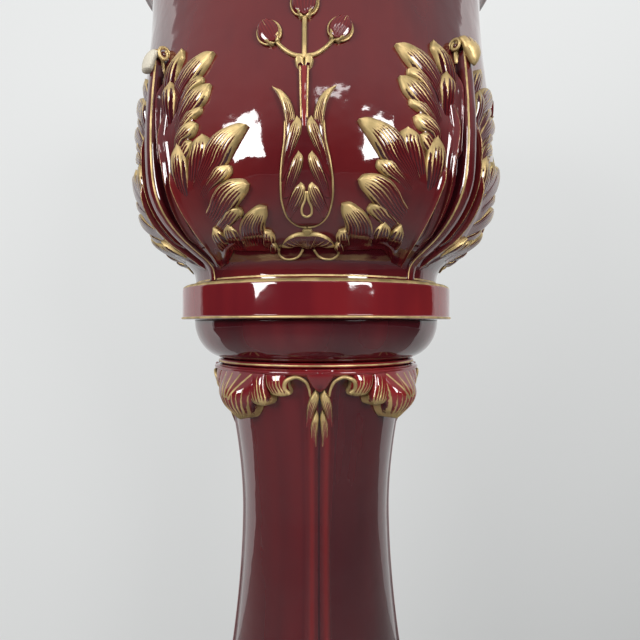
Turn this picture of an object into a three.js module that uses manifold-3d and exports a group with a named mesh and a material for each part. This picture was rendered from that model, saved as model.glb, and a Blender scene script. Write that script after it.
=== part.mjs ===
// A glazed earthenware jardiniere on its pedestal stand, in millimetres, +Z up, front towards -Y.
// The pot lifts off the stand. Each is built up of thrown or pressed sections, and the leaves and
// sprigs are pressed on their own and stuck on with slip.

import * as THREE from 'three';
import { mergeVertices } from 'three/addons/utils/BufferGeometryUtils.js';
import Module from 'manifold-3d';

const wasm = await Module();
wasm.setup();

// ---------------------------------------------------------------- driving dimensions

const clearance = 0.3;            // slip joint between two pieces that touch
const bedding = 3;                // how deep a relief is made before its back is cut to its wall
const roundSides = 40;            // flats round a section of the stand
const bowlSides = 48;             // flats round the pot, alike at every face and corner
const faceAngle = 90;             // degrees between two faces of the stand or the pot
const cornerAngle = 45;           // degrees from a face to the corner beside it

// The stand, from the floor up
const standHeight = 660;          // floor to the top of the top plate
const sectionWall = 11;           // clay wall of the hollow mouldings
const plinthRadius = 158;
const plinthHeight = 38;
const plinthRounding = 5;
const torusRadius = 147;          // the moulding on the plinth, the collar's counterpart
const torusHeight = 30;
const baseFilletRadius = 136;
const baseFilletHeight = 7;
const shaftFootRadius = 130;
const shaftWaistRadius = 80.5;
const shaftWaistHeight = 415;     // above the floor
const shaftNeckRadius = 104;
const shaftSweep = 1.8;           // power of the concave sweep from the waist to either end
const shaftWall = 9;
const reedHeight = 2.6;           // the pair of reeds down the middle of each face
const reedHalfAngle = 4.8;        // degrees, half of one reed
const ringRadius = 110;           // gilt ring over the capital
const ringHeight = 5;
const collarTopRadius = 136;
const collarFootRadius = 101;
const collarHeight = 41;
const plateRadius = 150;
const plateThickness = 36;
const plateRounding = 5;
const seatDepth = 3;              // recess that the pot's foot stands in
const seatPlay = 2.5;             // between the foot and the side of the recess
const ventRadius = 18;

// The capital
const capitalDrop = 53;           // from the gilt ring down to the leaf tips
const capitalBulge = 9;           // how far the leaves stand out over a face
const capitalNose = 17;           // and how much further at the corners
const noseHalfAngle = 13;         // degrees, spread of a corner
const pendantHalfAngle = 5;       // degrees, room for the husks between two leaves
const pendantLength = 44;
const pendantHeight = 4;
const pendantRoomAngle = 0.5;     // degrees, between the husks and the leaves beside them

// The pot
const footRadius = 134.5;
const footRingWidth = 14;
const footRingDepth = 7;          // hollow under the floor of the pot
const floorThickness = 11;
const bowlWall = 9;
const bowlHeight = 342.7;
const bellyRadius = 192.5;
const neckRadius = 179.5;
const lipRadius = 197;
const lipRoll = 5.5;              // half of the rolled lip's thickness
const lipRollAngle = -70;         // degrees, where the roll leaves the outside of the wall
const potTurnAngle = -5;          // degrees, how the pot is set down on the stand

// The reliefs on the pot
const leafHeight = 210;           // from the foot line to the top of an acanthus leaf
const leafHalfAngle = 36;         // degrees, from a leaf's midrib to its widest lobe
const leafThickness = 5.5;
const ribHeight = 12;
const stalkHeight = 4;
const hookReach = 14;             // how far the leaf's hooked tip stands off its rib
const hookHalfWidth = 10;
const hookThickness = 4;
const tulipRise = 37;             // from the foot line to the bottom of the tulip
const tulipHalfWidth = 22.5;
const tulipHeight = 78;
const tipSpread = 24;
const tipRise = 27;
const petalHalfWidth = 6;
const stemLength = 51;            // from the mouth of the tulip to the fork
const stemHalfWidth = 3;
const armHalfWidth = 2;
const armReach = 29;
const armRise = 18;
const budRadius = 10.5;
const topBudRise = 44;
const sprigThickness = 4.5;
const palmetteHalfWidth = 22.5;
const palmetteHeight = 12;
const palmetteGap = 4;            // under the tulip
const longestStep = 16;           // of a strip that bends with the wall

// ---------------------------------------------------------------- heights that follow

const torusFoot = plinthHeight + clearance;
const baseFilletFoot = torusFoot + torusHeight + clearance;
const shaftFoot = baseFilletFoot + baseFilletHeight + clearance;
const plateFoot = standHeight - plateThickness;
const collarFoot = plateFoot - clearance - collarHeight;
const ringFoot = collarFoot - clearance - ringHeight;
const shaftTop = ringFoot - clearance;
const seatFloor = standHeight - seatDepth;
const potFoot = seatFloor + clearance;
const potTop = potFoot + bowlHeight;
const potLine = potFoot + footRingDepth;       // where the stalks of the leaves spring

const radians = THREE.MathUtils.degToRad;
const mix = THREE.MathUtils.lerp;

// ---------------------------------------------------------------- materials

const glaze = new THREE.MeshStandardMaterial({ color: 0x6e1e23, roughness: 0.12, metalness: 0 });
const gilding = new THREE.MeshStandardMaterial({ color: 0xa58c4b, roughness: 0.3, metalness: 0.9 });

// ---------------------------------------------------------------- surfaces

// Smooth curve through [height, radius] points, as a radius for any height between them.
function radiusAt(points, height) {
  const last = points.length - 1;
  let i = 0;
  while (i < last - 1 && height > points[i + 1][0]) i += 1;
  const slope = (k) => {
    const before = points[Math.max(k - 1, 0)];
    const after = points[Math.min(k + 1, last)];
    return (after[1] - before[1]) / (after[0] - before[0]);
  };
  const [z0, r0] = points[i];
  const [z1, r1] = points[i + 1];
  const span = z1 - z0;
  const t = THREE.MathUtils.clamp((height - z0) / span, 0, 1);
  const s = 1 - t;
  return r0 * (1 + 2 * t) * s * s + r1 * (3 - 2 * t) * t * t
    + span * t * s * (slope(i) * s - slope(i + 1) * t);
}

// Outside of the pot: shares of the height, with radii between foot, belly and neck.
const towardsBelly = (share) => mix(footRadius, bellyRadius, share);
const towardsNeck = (share) => mix(bellyRadius, neckRadius, share);
const towardsLip = (share) => mix(neckRadius, lipRadius - lipRoll, share);
const bowlOutline = [
  [0, towardsBelly(0)], [0.032, towardsBelly(0.01)], [0.055, towardsBelly(0.06)],
  [0.09, towardsBelly(0.28)], [0.13, towardsBelly(0.57)], [0.165, towardsBelly(0.73)],
  [0.2, towardsBelly(0.85)], [0.235, towardsBelly(0.93)], [0.28, towardsBelly(0.98)],
  [0.37, towardsBelly(1)], [0.5, towardsNeck(0.16)], [0.6, towardsNeck(0.44)],
  [0.7, towardsNeck(0.73)], [0.79, towardsNeck(0.95)], [0.86, towardsNeck(1)],
  [0.92, towardsLip(0.21)], [1 - 2 * lipRoll / bowlHeight, towardsLip(1)],
].map(([share, radius]) => [potFoot + share * bowlHeight, radius]);

const bowlRadius = (height) => radiusAt(bowlOutline, height);

// A place by degrees round from the front, radius and height.
function place(degrees, radius, height) {
  const angle = radians(degrees);
  return new THREE.Vector3(radius * Math.sin(angle), -radius * Math.cos(angle), height);
}

const onBowl = (degrees, height, lift) => place(degrees, bowlRadius(height) + lift, height);

// The shaft: a waist with a concave sweep to both ends.
function shaftRadius(height) {
  const below = height < shaftWaistHeight;
  const end = below ? shaftFoot : shaftTop;
  const endRadius = below ? shaftFootRadius : shaftNeckRadius;
  const share = Math.abs((height - shaftWaistHeight) / (end - shaftWaistHeight));
  return mix(shaftWaistRadius, endRadius, share ** shaftSweep);
}

// ---------------------------------------------------------------- shapes

// Turned piece: [radius, height] points round the Z axis, up the outside and down the inside.
function turned(profile, sides = roundSides) {
  const points = profile.map(([radius, height]) => new THREE.Vector2(radius, height));
  return new THREE.LatheGeometry(points, sides).rotateX(Math.PI / 2);
}

// Turned ring, whose profile closes on its first point.
const turnedRing = (profile) => turned([...profile, profile[0]]);

// Points of an arc, [radius, height], about a centre, from one angle to another in degrees.
function arc([centreRadius, centreHeight], [across, up], from, to, steps) {
  return Array.from({ length: steps + 1 }, (_, i) => {
    const angle = radians(mix(from, to, i / steps));
    return [centreRadius + across * Math.cos(angle), centreHeight + up * Math.sin(angle)];
  });
}

// Body from rings of points: each ring joins the next, and both ends are filled or, on a hollow
// body, the last ring meets the first.
function skinned(rings, hollow = false) {
  const size = rings[0].length;
  const positions = rings.flat().flatMap((point) => [point.x, point.y, point.z]);
  const index = [];
  const bands = hollow ? rings.length : rings.length - 1;
  for (let i = 0; i < bands; i += 1) {
    for (let j = 0; j < size; j += 1) {
      const next = (j + 1) % size;
      const above = ((i + 1) % rings.length) * size;
      index.push(i * size + j, i * size + next, above + next, i * size + j, above + next, above + j);
    }
  }
  for (const [ring, flip] of hollow ? [] : [[0, true], [rings.length - 1, false]]) {
    for (let j = 1; j < size - 1; j += 1) {
      const [a, b, c] = [ring * size, ring * size + j, ring * size + j + 1];
      index.push(...(flip ? [a, c, b] : [a, b, c]));
    }
  }
  const geometry = new THREE.BufferGeometry();
  geometry.setAttribute('position', new THREE.Float32BufferAttribute(positions, 3));
  geometry.setIndex(index);
  return geometry;
}

function asSolid(geometry) {
  const bare = geometry.clone();
  bare.deleteAttribute('normal');
  bare.deleteAttribute('uv');
  const merged = mergeVertices(bare, 1e-4);
  return new wasm.Manifold(new wasm.Mesh({
    numProp: 3,
    vertProperties: new Float32Array(merged.attributes.position.array),
    triVerts: new Uint32Array(merged.index.array),
  }));
}

// Reliefs joined into one body, with its back cut to lie a slip joint off its wall.
function seated(reliefs, wall) {
  const mesh = reliefs.map(asSolid).reduce((sum, solid) => sum.add(solid)).subtract(wall).getMesh();
  const geometry = new THREE.BufferGeometry();
  geometry.setAttribute('position', new THREE.Float32BufferAttribute(mesh.vertProperties, 3));
  geometry.setIndex(new THREE.Uint32BufferAttribute(mesh.triVerts, 1));
  return geometry;
}

// Fronts of modelled strips across their line: place, -1 to 1, and share of the height.
const roundFront = [[-1, 0.45], [-0.5, 0.9], [0.5, 0.9], [1, 0.45]];
const ridgedFront = [[-1, 0.45], [0, 1], [1, 0.45]];

// The points of a line, with more between them where they lie more than the longest step apart.
function refined(points) {
  const more = points.slice(0, -1).flatMap((point, i) => {
    const next = points[i + 1];
    const steps = Math.ceil(Math.hypot(next[0] - point[0], next[1] - point[1]) / longestStep);
    const between = (share) => point.map((value, axis) => mix(value, next[axis], share));
    return Array.from({ length: steps }, (_, k) => between(k / steps));
  });
  return [...more, points[points.length - 1]];
}

// Strip modelled on the pot along a line of points: mm across the face, height, half width and
// how far it stands out.
function bowlStrip(points, front = ridgedFront) {
  const line = refined(points);
  const rings = line.map(([across, height, halfWidth, rise], i) => {
    const before = line[Math.max(i - 1, 0)];
    const after = line[Math.min(i + 1, line.length - 1)];
    const along = new THREE.Vector2(after[0] - before[0], after[1] - before[1]).normalize();
    const at = (side, lift) => {
      const x = across + side * halfWidth * along.y;
      const z = height - side * halfWidth * along.x;
      return onBowl(THREE.MathUtils.radToDeg(x / bowlRadius(height)), z, lift);
    };
    return [...front.map(([side, share]) => at(side, share * rise)), at(1, -bedding), at(-1, -bedding)];
  });
  return skinned(rings);
}

// ---------------------------------------------------------------- the stand

function plinth() {
  const top = plinthHeight;
  const inner = torusRadius - 2 * sectionWall;
  const r = plinthRounding;
  return turnedRing([
    [inner, 0],
    ...arc([plinthRadius - r / 2, r / 2], [r / 2, r / 2], -90, 0, 2),
    ...arc([plinthRadius - r, top - r], [r, r], 0, 90, 3),
    [inner, top],
  ]);
}

function baseTorus() {
  const middle = torusFoot + torusHeight / 2;
  const inner = baseFilletRadius - sectionWall;
  const swell = torusRadius - baseFilletRadius;
  return turnedRing([
    [inner, torusFoot],
    ...arc([baseFilletRadius, middle], [swell, torusHeight / 2], -90, 90, 7),
    [inner, torusFoot + torusHeight],
  ]);
}

function baseFillet() {
  const top = baseFilletFoot + baseFilletHeight;
  const inner = baseFilletRadius - 2 * sectionWall;
  return turnedRing([
    [inner, baseFilletFoot], [baseFilletRadius, baseFilletFoot], [baseFilletRadius, top], [inner, top],
  ]);
}

// Two reeds side by side, and nothing between them and the next face.
function reed(degrees) {
  const fromFace = Math.abs(degrees - faceAngle * Math.round(degrees / faceAngle));
  if (fromFace >= 2 * reedHalfAngle) return 0;
  return reedHeight * Math.sin(Math.PI * fromFace / (2 * reedHalfAngle)) ** 2;
}

const shaftAngles = [0, 1, 2, 3].flatMap((face) => {
  const reeds = [-2, -1, 0, 1, 2].map((step) => step * reedHalfAngle);
  const plain = [0.22, 0.41, 0.59, 0.78].map((share) => mix(reeds[4], faceAngle + reeds[0], share));
  return [...reeds, ...plain].map((angle) => face * faceAngle + angle);
});
const shaftShares = [0, 0.07, 0.16, 0.28, 0.42, 0.56, 0.7, 0.8, 0.88, 0.94, 1];

// Outline of the shaft at a share of its length, some way off its face.
function shaftRing(share, off) {
  const height = mix(shaftFoot, shaftTop, share);
  return shaftAngles.map((angle) => place(angle, shaftRadius(height) + reed(angle) + off, height));
}

function shaft() {
  const bore = [1, 0.8, 0.55, 0.3, 0.1, 0].map((share) => {
    const height = mix(shaftFoot, shaftTop, share);
    return shaftAngles.map((angle) => place(angle, shaftRadius(height) - shaftWall, height));
  });
  return skinned([...shaftShares.map((share) => shaftRing(share, 0)), ...bore], true);
}

function capitalRing() {
  const inner = shaftNeckRadius - shaftWall;
  const middle = ringFoot + ringHeight / 2;
  return turnedRing([
    [inner, ringFoot],
    ...arc([ringRadius - ringHeight / 2, middle], [ringHeight / 2, ringHeight / 2], -90, 90, 4),
    [inner, ringFoot + ringHeight],
  ]);
}

// Ovolo: a quarter of an ellipse that spreads from the capital to the plate.
function collar() {
  const top = collarFoot + collarHeight;
  const inner = collarFootRadius - sectionWall;
  const spread = collarTopRadius - collarFootRadius;
  return turnedRing([
    [inner, collarFoot],
    ...arc([collarFootRadius, top], [spread, collarHeight], -90, 0, 7),
    [collarTopRadius - sectionWall, top],
  ]);
}

function topPlate() {
  const seatRadius = footRadius + seatPlay;
  const r = plateRounding;
  return turnedRing([
    [ventRadius, plateFoot],
    ...arc([plateRadius - r / 2, plateFoot + r / 2], [r / 2, r / 2], -90, 0, 2),
    ...arc([plateRadius - r, standHeight - r], [r, r], 0, 90, 3),
    [seatRadius, standHeight],
    [seatRadius, seatFloor],
    [ventRadius, seatFloor],
  ]);
}

// ---------------------------------------------------------------- the capital's leaves and husks

// Lower edge of half a leaf, from the husks to the corner: share of the angle, share of the drop.
const capitalEdge = [
  [1, 0.36], [0.87, 0.17], [0.76, 0.36], [0.63, 0.5], [0.51, 0.62], [0.33, 0.8], [0.13, 0.96], [0, 1],
];
// How the leaf swells from the ring to its lower edge: share of the drop, share of the swell.
const capitalSwell = [[0, 0.3], [0.25, 0.85], [0.55, 1], [0.85, 0.75], [1, 0.4]];

const shaftWallSolid = asSolid(skinned(shaftShares.map((share) => shaftRing(share, clearance))));

function capitalLeaf() {
  const halfAngle = cornerAngle - pendantHalfAngle;
  const mirrored = capitalEdge.slice(0, -1).map(([share, drop]) => [-share, drop]);
  const stations = [...mirrored, ...capitalEdge.toReversed()];
  const rings = stations.map(([share, drop]) => {
    const degrees = share * halfAngle;
    const nose = Math.exp(-((degrees / noseHalfAngle) ** 2));
    const heightAt = (down) => shaftTop - down * drop * capitalDrop;
    const front = capitalSwell.map(([down, swell]) => place(
      cornerAngle + degrees,
      shaftNeckRadius + swell * (capitalBulge + capitalNose * nose),
      heightAt(down),
    ));
    const back = [1, 0].map((down) => place(
      cornerAngle + degrees, shaftRadius(heightAt(down)) - bedding, heightAt(down),
    ));
    return [...front, ...back];
  });
  return seated([skinned(rings)], shaftWallSolid);
}

// Pair of husks that hangs between two leaves and runs out into the reeds.
const huskFront = [[-1, 0.5], [-0.4, 1], [0, 0.7], [0.4, 1], [1, 0.5]];
const huskWidths = [[0, 0.85], [0.35, 0.6], [0.5, 1], [0.75, 0.8], [1, 0.3]];

function pendant() {
  const rings = huskWidths.map(([share, width]) => {
    const height = shaftTop - share * pendantLength;
    const halfAngle = width * (pendantHalfAngle - pendantRoomAngle);
    const wall = shaftRadius(height);
    const rise = reedHeight + mix(1, 0.35, share) * pendantHeight;
    return [
      ...huskFront.map(([side, swell]) => place(side * halfAngle, wall + swell * rise, height)),
      place(halfAngle, wall - bedding, height),
      place(-halfAngle, wall - bedding, height),
    ];
  });
  return seated([skinned(rings.reverse())], shaftWallSolid);
}

// ---------------------------------------------------------------- the pot

function bowl() {
  const underside = potFoot + footRingDepth;
  const floor = underside + floorThickness;
  const lipHeight = potTop - lipRoll;
  const inside = bowlOutline
    .filter(([height], i) => height > floor + bowlWall && height < lipHeight - lipRoll && i % 2 === 0)
    .map(([height, radius]) => [radius - bowlWall, height])
    .reverse();
  return turned([
    [0, underside],
    [footRadius - footRingWidth, underside],
    [footRadius - footRingWidth, potFoot],
    ...bowlOutline.map(([height, radius]) => [radius, height]),
    ...arc([lipRadius - lipRoll, lipHeight], [lipRoll, lipRoll], lipRollAngle, 180, 6),
    ...inside,
    [footRadius - bowlWall, floor],
    [0, floor],
  ], bowlSides);
}

const bowlWallSolid = asSolid(turned([
  [0, potFoot],
  ...bowlOutline.map(([height, radius]) => [radius + clearance, height]),
  [0, bowlOutline[bowlOutline.length - 1][0]],
], bowlSides));

// Half of an acanthus leaf, from its stalk to its tip. Each row runs from the midrib to the edge:
// height on the midrib, then angle and height at the edge, as shares of the leaf.
const leafRows = [
  [0, 0.09, 0], [0.05, 0.15, 0.05],
  [0.09, 0.36, 0.09], [0.11, 0.66, 0.09], [0.13, 1, 0.11],        // lower margin
  [0.16, 1, 0.26], [0.18, 0.68, 0.2],                             // first lobe and the notch over it
  [0.2, 0.77, 0.27], [0.23, 0.88, 0.34], [0.25, 0.6, 0.32],
  [0.28, 0.75, 0.42], [0.3, 0.68, 0.43],
  [0.33, 0.9, 0.54], [0.37, 0.62, 0.56], [0.4, 0.4, 0.48],        // the longest lobe
  [0.43, 0.43, 0.53], [0.47, 0.5, 0.59], [0.5, 0.44, 0.61],
  [0.53, 0.52, 0.65], [0.56, 0.48, 0.68],
  [0.6, 0.62, 0.73], [0.64, 0.46, 0.75],
  [0.68, 0.62, 0.86], [0.74, 0.36, 0.85], [0.8, 0.2, 0.84],       // the topmost lobe
  [0.86, 0.29, 0.92], [0.93, 0.14, 0.92],
];
// From the midrib outwards: share of the row, and height as shares of the rib and of the blade.
const leafFront = [[0, 1, 0], [0.14, 0.25, 0.65], [0.75, 0, 1], [1, 0, 0.4]];

function leafBlade() {
  const rings = leafRows.map(([root, edgeAngle, edge]) => {
    const rise = mix(stalkHeight, ribHeight, Math.min(1, root / 0.3));
    const at = (share, lift) => onBowl(
      share * edgeAngle * leafHalfAngle,
      potLine + mix(root, edge, Math.abs(share)) * leafHeight,
      lift,
    );
    const half = (side) => leafFront.map(
      ([share, rib, blade]) => at(side * share, rib * rise + blade * Math.min(leafThickness, rise)),
    );
    const back = [1, 0.7, 0.4, 0, -0.4, -0.7, -1].map((share) => at(share, -bedding));
    return [...half(-1).slice(1).reverse(), ...half(1), ...back];
  });
  return skinned(rings);
}

// Section of the hook: shares of its half width and its thickness.
const hookSection = [[-1, 0], [-0.7, 1], [0.7, 1], [1, 0], [0.7, -1], [-0.7, -1]];

// The leaf's hooked tip: it rises with the midrib, turns outwards and comes down again.
function leafHook() {
  const rootHeight = potLine + 0.86 * leafHeight;
  const top = potLine + leafHeight;
  const rootRadius = bowlRadius(rootHeight) + ribHeight - hookThickness;
  const line = [
    [0, rootHeight], [0, mix(rootHeight, top, 0.6)], [0.12, mix(rootHeight, top, 0.9)],
    [0.5, top], [0.88, mix(rootHeight, top, 0.85)], [1, mix(rootHeight, top, 0.5)],
    [0.85, mix(rootHeight, top, 0.2)], [0.6, mix(rootHeight, top, 0.1)],
  ].map(([share, height]) => new THREE.Vector2(rootRadius + share * hookReach, height));
  const rings = line.map((centre, i) => {
    const before = line[Math.max(i - 1, 0)];
    const after = line[Math.min(i + 1, line.length - 1)];
    const along = after.clone().sub(before).normalize();
    const taper = mix(1, 0.55, i / (line.length - 1));
    return hookSection.map(([side, out]) => new THREE.Vector3(
      side * hookHalfWidth * taper,
      -(centre.x + out * along.y * hookThickness * taper),
      centre.y - out * along.x * hookThickness * taper,
    ));
  });
  return skinned(rings);
}

const acanthusLeaf = seated([leafBlade(), leafHook()], bowlWallSolid);

// Tulip, stem and three buds, on the middle of a face.
function tulipSprig() {
  const foot = potLine + tulipRise;
  const mouth = foot + tulipHeight;
  const junction = mouth + stemLength;
  const thick = sprigThickness;
  const cup = bowlStrip(
    [[0, 0.25], [0.1, 0.68], [0.33, 1], [0.6, 0.92], [0.85, 0.8], [1, 0.7]].map(
      ([rise, width]) => [0, mix(foot, mouth, rise), width * tulipHalfWidth, thick],
    ),
    roundFront,
  );
  const petal = (side) => bowlStrip(
    [[0.42, -0.2, 1], [0.46, 0.3, 0.9], [0.62, 0.65, 0.65], [1, 1, 0.1]].map(
      ([across, rise, width]) => [
        side * across * tipSpread, mouth + rise * tipRise, width * petalHalfWidth, thick,
      ],
    ),
  );
  const stem = bowlStrip(
    [[-8, 1], [stemLength - 10, 1], [stemLength - 5, 2.2], [stemLength, 1]].map(
      ([rise, width]) => [0, mouth + rise, width * stemHalfWidth, thick],
    ),
  );
  const arm = (side) => bowlStrip(
    [[-0.1, -0.1], [0.35, 0.05], [0.7, 0.4], [0.95, 0.85]].map(
      ([across, rise]) => [side * across * armReach, junction + rise * armRise, armHalfWidth, thick],
    ),
  );
  const topStem = bowlStrip(
    [-4, topBudRise - budRadius / 2].map((rise) => [0, junction + rise, armHalfWidth, thick]),
  );
  const bud = (across, rise) => bowlStrip(
    [[-1, 0.25, 0.5], [-0.6, 0.82, 1.2], [0, 1, 1.5], [0.6, 0.82, 1.2], [1, 0.25, 0.5]].map(
      ([up, width, swell]) => [
        across, junction + rise + up * budRadius, width * budRadius, swell * thick,
      ],
    ),
    roundFront,
  );
  return seated([
    cup, petal(-1), petal(1), stem, arm(-1), arm(1), topStem,
    bud(-armReach, armRise + budRadius / 2), bud(armReach, armRise + budRadius / 2), bud(0, topBudRise),
  ], bowlWallSolid);
}

// Small fan under the tulip.
function palmette() {
  const middle = potLine + tulipRise - palmetteGap - palmetteHeight / 2;
  const fan = bowlStrip(
    [[-1, 0.15, 0.5], [-0.7, 0.75, 0.9], [0, 1, 1], [0.7, 0.75, 0.9], [1, 0.15, 0.5]].map(
      ([across, width, swell]) => [
        across * palmetteHalfWidth, middle, width * palmetteHeight / 2, swell * sprigThickness,
      ],
    ),
    roundFront,
  );
  return seated([fan], bowlWallSolid);
}

// ---------------------------------------------------------------- assembly

function piece(name, geometry, material, turn = 0) {
  const mesh = new THREE.Mesh(geometry, material);
  mesh.name = name;
  mesh.rotation.z = radians(turn);
  return mesh;
}

const stand = new THREE.Group();
stand.add(
  piece('base_plinth', plinth(), glaze),
  piece('base_torus', baseTorus(), glaze),
  piece('base_fillet', baseFillet(), glaze),
  piece('column_shaft', shaft(), glaze),
  piece('capital_ring', capitalRing(), glaze),
  piece('collar', collar(), glaze),
  piece('top_plate', topPlate(), glaze),
);

const pot = new THREE.Group();
pot.rotation.z = radians(potTurnAngle);
pot.add(piece('bowl', bowl(), glaze));

const sprig = tulipSprig();
const faces = ['front', 'right', 'back', 'left'];
for (const [i, side] of faces.entries()) {
  const turn = i * faceAngle;
  stand.add(piece(`pendant_${side}`, pendant(), gilding, turn));
  pot.add(piece(`tulip_sprig_${side}`, sprig, glaze, turn));
  pot.add(piece(`palmette_${side}`, palmette(), gilding, turn));
}
const corners = ['front_right', 'back_right', 'back_left', 'front_left'];
for (const [i, corner] of corners.entries()) {
  const turn = i * faceAngle;
  stand.add(piece(`capital_leaf_${corner}`, capitalLeaf(), glaze, turn));
  pot.add(piece(`acanthus_leaf_${corner}`, acanthusLeaf, glaze, turn + cornerAngle));
}

const jardiniereOnStand = new THREE.Group();
jardiniereOnStand.add(stand, pot);

export default jardiniereOnStand;
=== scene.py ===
# %% [markdown]
# # A glazed jardiniere on its stand
#
# A jardiniere is a holder for a plant pot. This one is of oxblood-red majolica, earthenware under a
# thick glossy glaze, and it stands loose on a waisted pedestal. Leaves, tulips and husks in relief
# are picked out in gold with a brush. The packed model gives every piece its place, so the script
# starts from it and dresses each piece in turn.

import bmesh
import bpy
import numpy as np
from mathutils import Euler, Matrix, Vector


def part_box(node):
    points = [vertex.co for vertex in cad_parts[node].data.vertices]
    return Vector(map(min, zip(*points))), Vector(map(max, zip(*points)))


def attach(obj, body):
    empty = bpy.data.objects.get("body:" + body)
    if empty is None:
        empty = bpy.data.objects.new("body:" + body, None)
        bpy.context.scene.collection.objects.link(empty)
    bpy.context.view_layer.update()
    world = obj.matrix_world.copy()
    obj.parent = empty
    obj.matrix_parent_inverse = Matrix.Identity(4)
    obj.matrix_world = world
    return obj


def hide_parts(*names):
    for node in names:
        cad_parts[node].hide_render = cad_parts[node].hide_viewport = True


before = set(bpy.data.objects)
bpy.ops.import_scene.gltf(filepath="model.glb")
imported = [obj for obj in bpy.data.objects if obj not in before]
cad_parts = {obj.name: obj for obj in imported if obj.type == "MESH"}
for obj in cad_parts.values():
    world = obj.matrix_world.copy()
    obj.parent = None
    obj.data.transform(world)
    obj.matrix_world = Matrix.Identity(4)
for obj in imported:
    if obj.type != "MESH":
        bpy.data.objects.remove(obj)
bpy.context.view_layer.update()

# %% [markdown]
# The numbers below are millimetres, as a potter would measure them, and a mesh gets them times
# `MM`. Heights are over the floor. The levels of the sections come from the packed model, so that
# a dressed piece always lies where its solid does.

# %% Levels read from the frame
MM = 0.001


def level(node, top=False):
    """Height in millimetres of the bottom, or the top, of a CAD node."""
    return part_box(node)[1 if top else 0].z / MM


plate_top = level("top_plate", top=True)
plate_foot = level("top_plate")
collar_top = level("collar", top=True)
collar_foot = level("collar")
ring_top = level("capital_ring", top=True)
ring_foot = level("capital_ring")
shaft_top = level("column_shaft", top=True)
shaft_foot = level("column_shaft")
pot_foot = level("bowl")
pot_top = level("bowl", top=True)
corners = {"front_right": 45, "back_right": 135, "back_left": 225, "front_left": 315}
faces = {"front": 0, "right": 90, "back": 180, "left": 270}
pot_turn = -5.0                      # degrees that the pot is turned on the stand
print("stand", round(plate_top, 1), "pot", round(pot_foot, 1), "to", round(pot_top, 1))

# %% [markdown]
# ## Camera
#
# The photograph was taken by someone standing close, about 60 cm from the axis, a little below the
# top of the stand and with a wide lens. The gilt rings give this away: the plate's edge bends
# upwards and the capital's ring bends downwards. The camera stands level, and a small shift does
# what the photographer's framing did.

# %% Camera
eye_height = 619.0
eye_distance = 598.0
eye_turn = -2.0                      # degrees round from the face of the stand
camera_data = bpy.data.cameras.new("photo_camera")
camera_data.sensor_width = 36.0
camera_data.lens = 29.25
camera_data.shift_x = 0.0062
camera_data.shift_y = 0.0070
camera = bpy.data.objects.new("photo_camera", camera_data)
bpy.context.scene.collection.objects.link(camera)
camera.location = (
    eye_distance * MM * np.sin(np.radians(eye_turn)),
    -eye_distance * MM * np.cos(np.radians(eye_turn)),
    eye_height * MM,
)
camera.rotation_euler = (np.radians(90), 0, np.radians(eye_turn))
bpy.context.scene.camera = camera
bpy.context.scene.view_settings.view_transform = "Standard"
print("camera at", [round(x, 3) for x in camera.location])

# %% [markdown]
# ## Shapes as grids of numbers
#
# Every surface of this pot is a grid: one direction goes round or across, the other goes along. A
# sculpted mesh would also do, but grids keep the sizes in sight, and numpy works out all their
# points at once. `smooth` draws a curve through a few given points, the way a potter draws a
# profile, and `add_piece` joins finished grids into one object.

# %% Curves through given points
def smooth(points, count):
    """Smooth curve through a few points, sampled evenly along its length.

    Between two points it is the cubic that leaves each with the slope of its neighbours:
    p0 (1 + 2t)(1 - t)^2 + p1 (3 - 2t) t^2 + span t (1 - t) ((1 - t) m0 - t m1).
    """
    points = np.asarray(points, float)
    steps = np.linalg.norm(np.diff(points, axis=0), axis=1)
    along = np.concatenate([[0.0], np.cumsum(steps)])
    slope = np.gradient(points, along, axis=0)
    at = np.linspace(0, along[-1], count)
    i = np.clip(np.searchsorted(along, at, side="right") - 1, 0, len(points) - 2)
    span = (along[i + 1] - along[i])[:, None]
    t = (at - along[i])[:, None] / span
    ends = points[i] * (1 + 2 * t) * (1 - t) ** 2 + points[i + 1] * (3 - 2 * t) * t**2
    return ends + span * t * (1 - t) * (slope[i] * (1 - t) - slope[i + 1] * t)


def arc(centre, radii, start, end, count):
    """Points of an ellipse arc between two angles in degrees: centre + radii x (cos, sin)."""
    angle = np.radians(np.linspace(start, end, count))
    return np.array(centre) + np.array(radii) * np.stack([np.cos(angle), np.sin(angle)], -1)


def mirror(edge):
    """The same drawn edge on the other side of the middle: (-across, height)."""
    return [(-across, height) for across, height in edge]


def ease(x):
    """Soft step: 3x^2 - 2x^3, flat below 0 and above 1."""
    x = np.clip(x, 0, 1)
    return x * x * (3 - 2 * x)


print("a quarter circle:", smooth([(0, 1), (0.7, 0.7), (1, 0)], 3).round(2).tolist())

# %% [markdown]
# The gilding follows the modelling: solid at the tips, then brush strokes that thin out towards the
# root. So each point of a grid carries three painted values, kept in the attribute `paint`: which
# stroke it lies on, counted across the form; how far it has got from bare glaze (0) to solid gold
# (1); and whether it lies on a painted line. A fourth value, `hollow`, says how deep in a groove it
# lies, because a majolica glaze runs off the crests and pools there. In the cove over the pot's
# foot it carries painted shade as well.

# %% A closed surface, and an object of several
def surface(points, paint=None, hollow=0.0):
    """A grid of points (rows, columns, 3) whose last column joins its first, with its paint."""
    shape = points.shape[:2]
    stroke, gold, line = paint if paint is not None else (0.0, -1.0, 0.0)
    return {
        "points": points,
        "paint": np.stack([np.broadcast_to(v, shape) for v in (stroke, gold, line)], -1),
        "hollow": np.broadcast_to(hollow, shape),
    }


def grid_faces(rows, columns, first):
    """Quads of a grid that is closed round: a corner, the next one round, and two over them."""
    row, column = np.meshgrid(np.arange(rows - 1), np.arange(columns), indexing="ij")
    a = first + row * columns + column
    b = first + row * columns + (column + 1) % columns
    return np.stack([a, b, b + columns, a + columns], -1).reshape(-1, 4)


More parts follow.
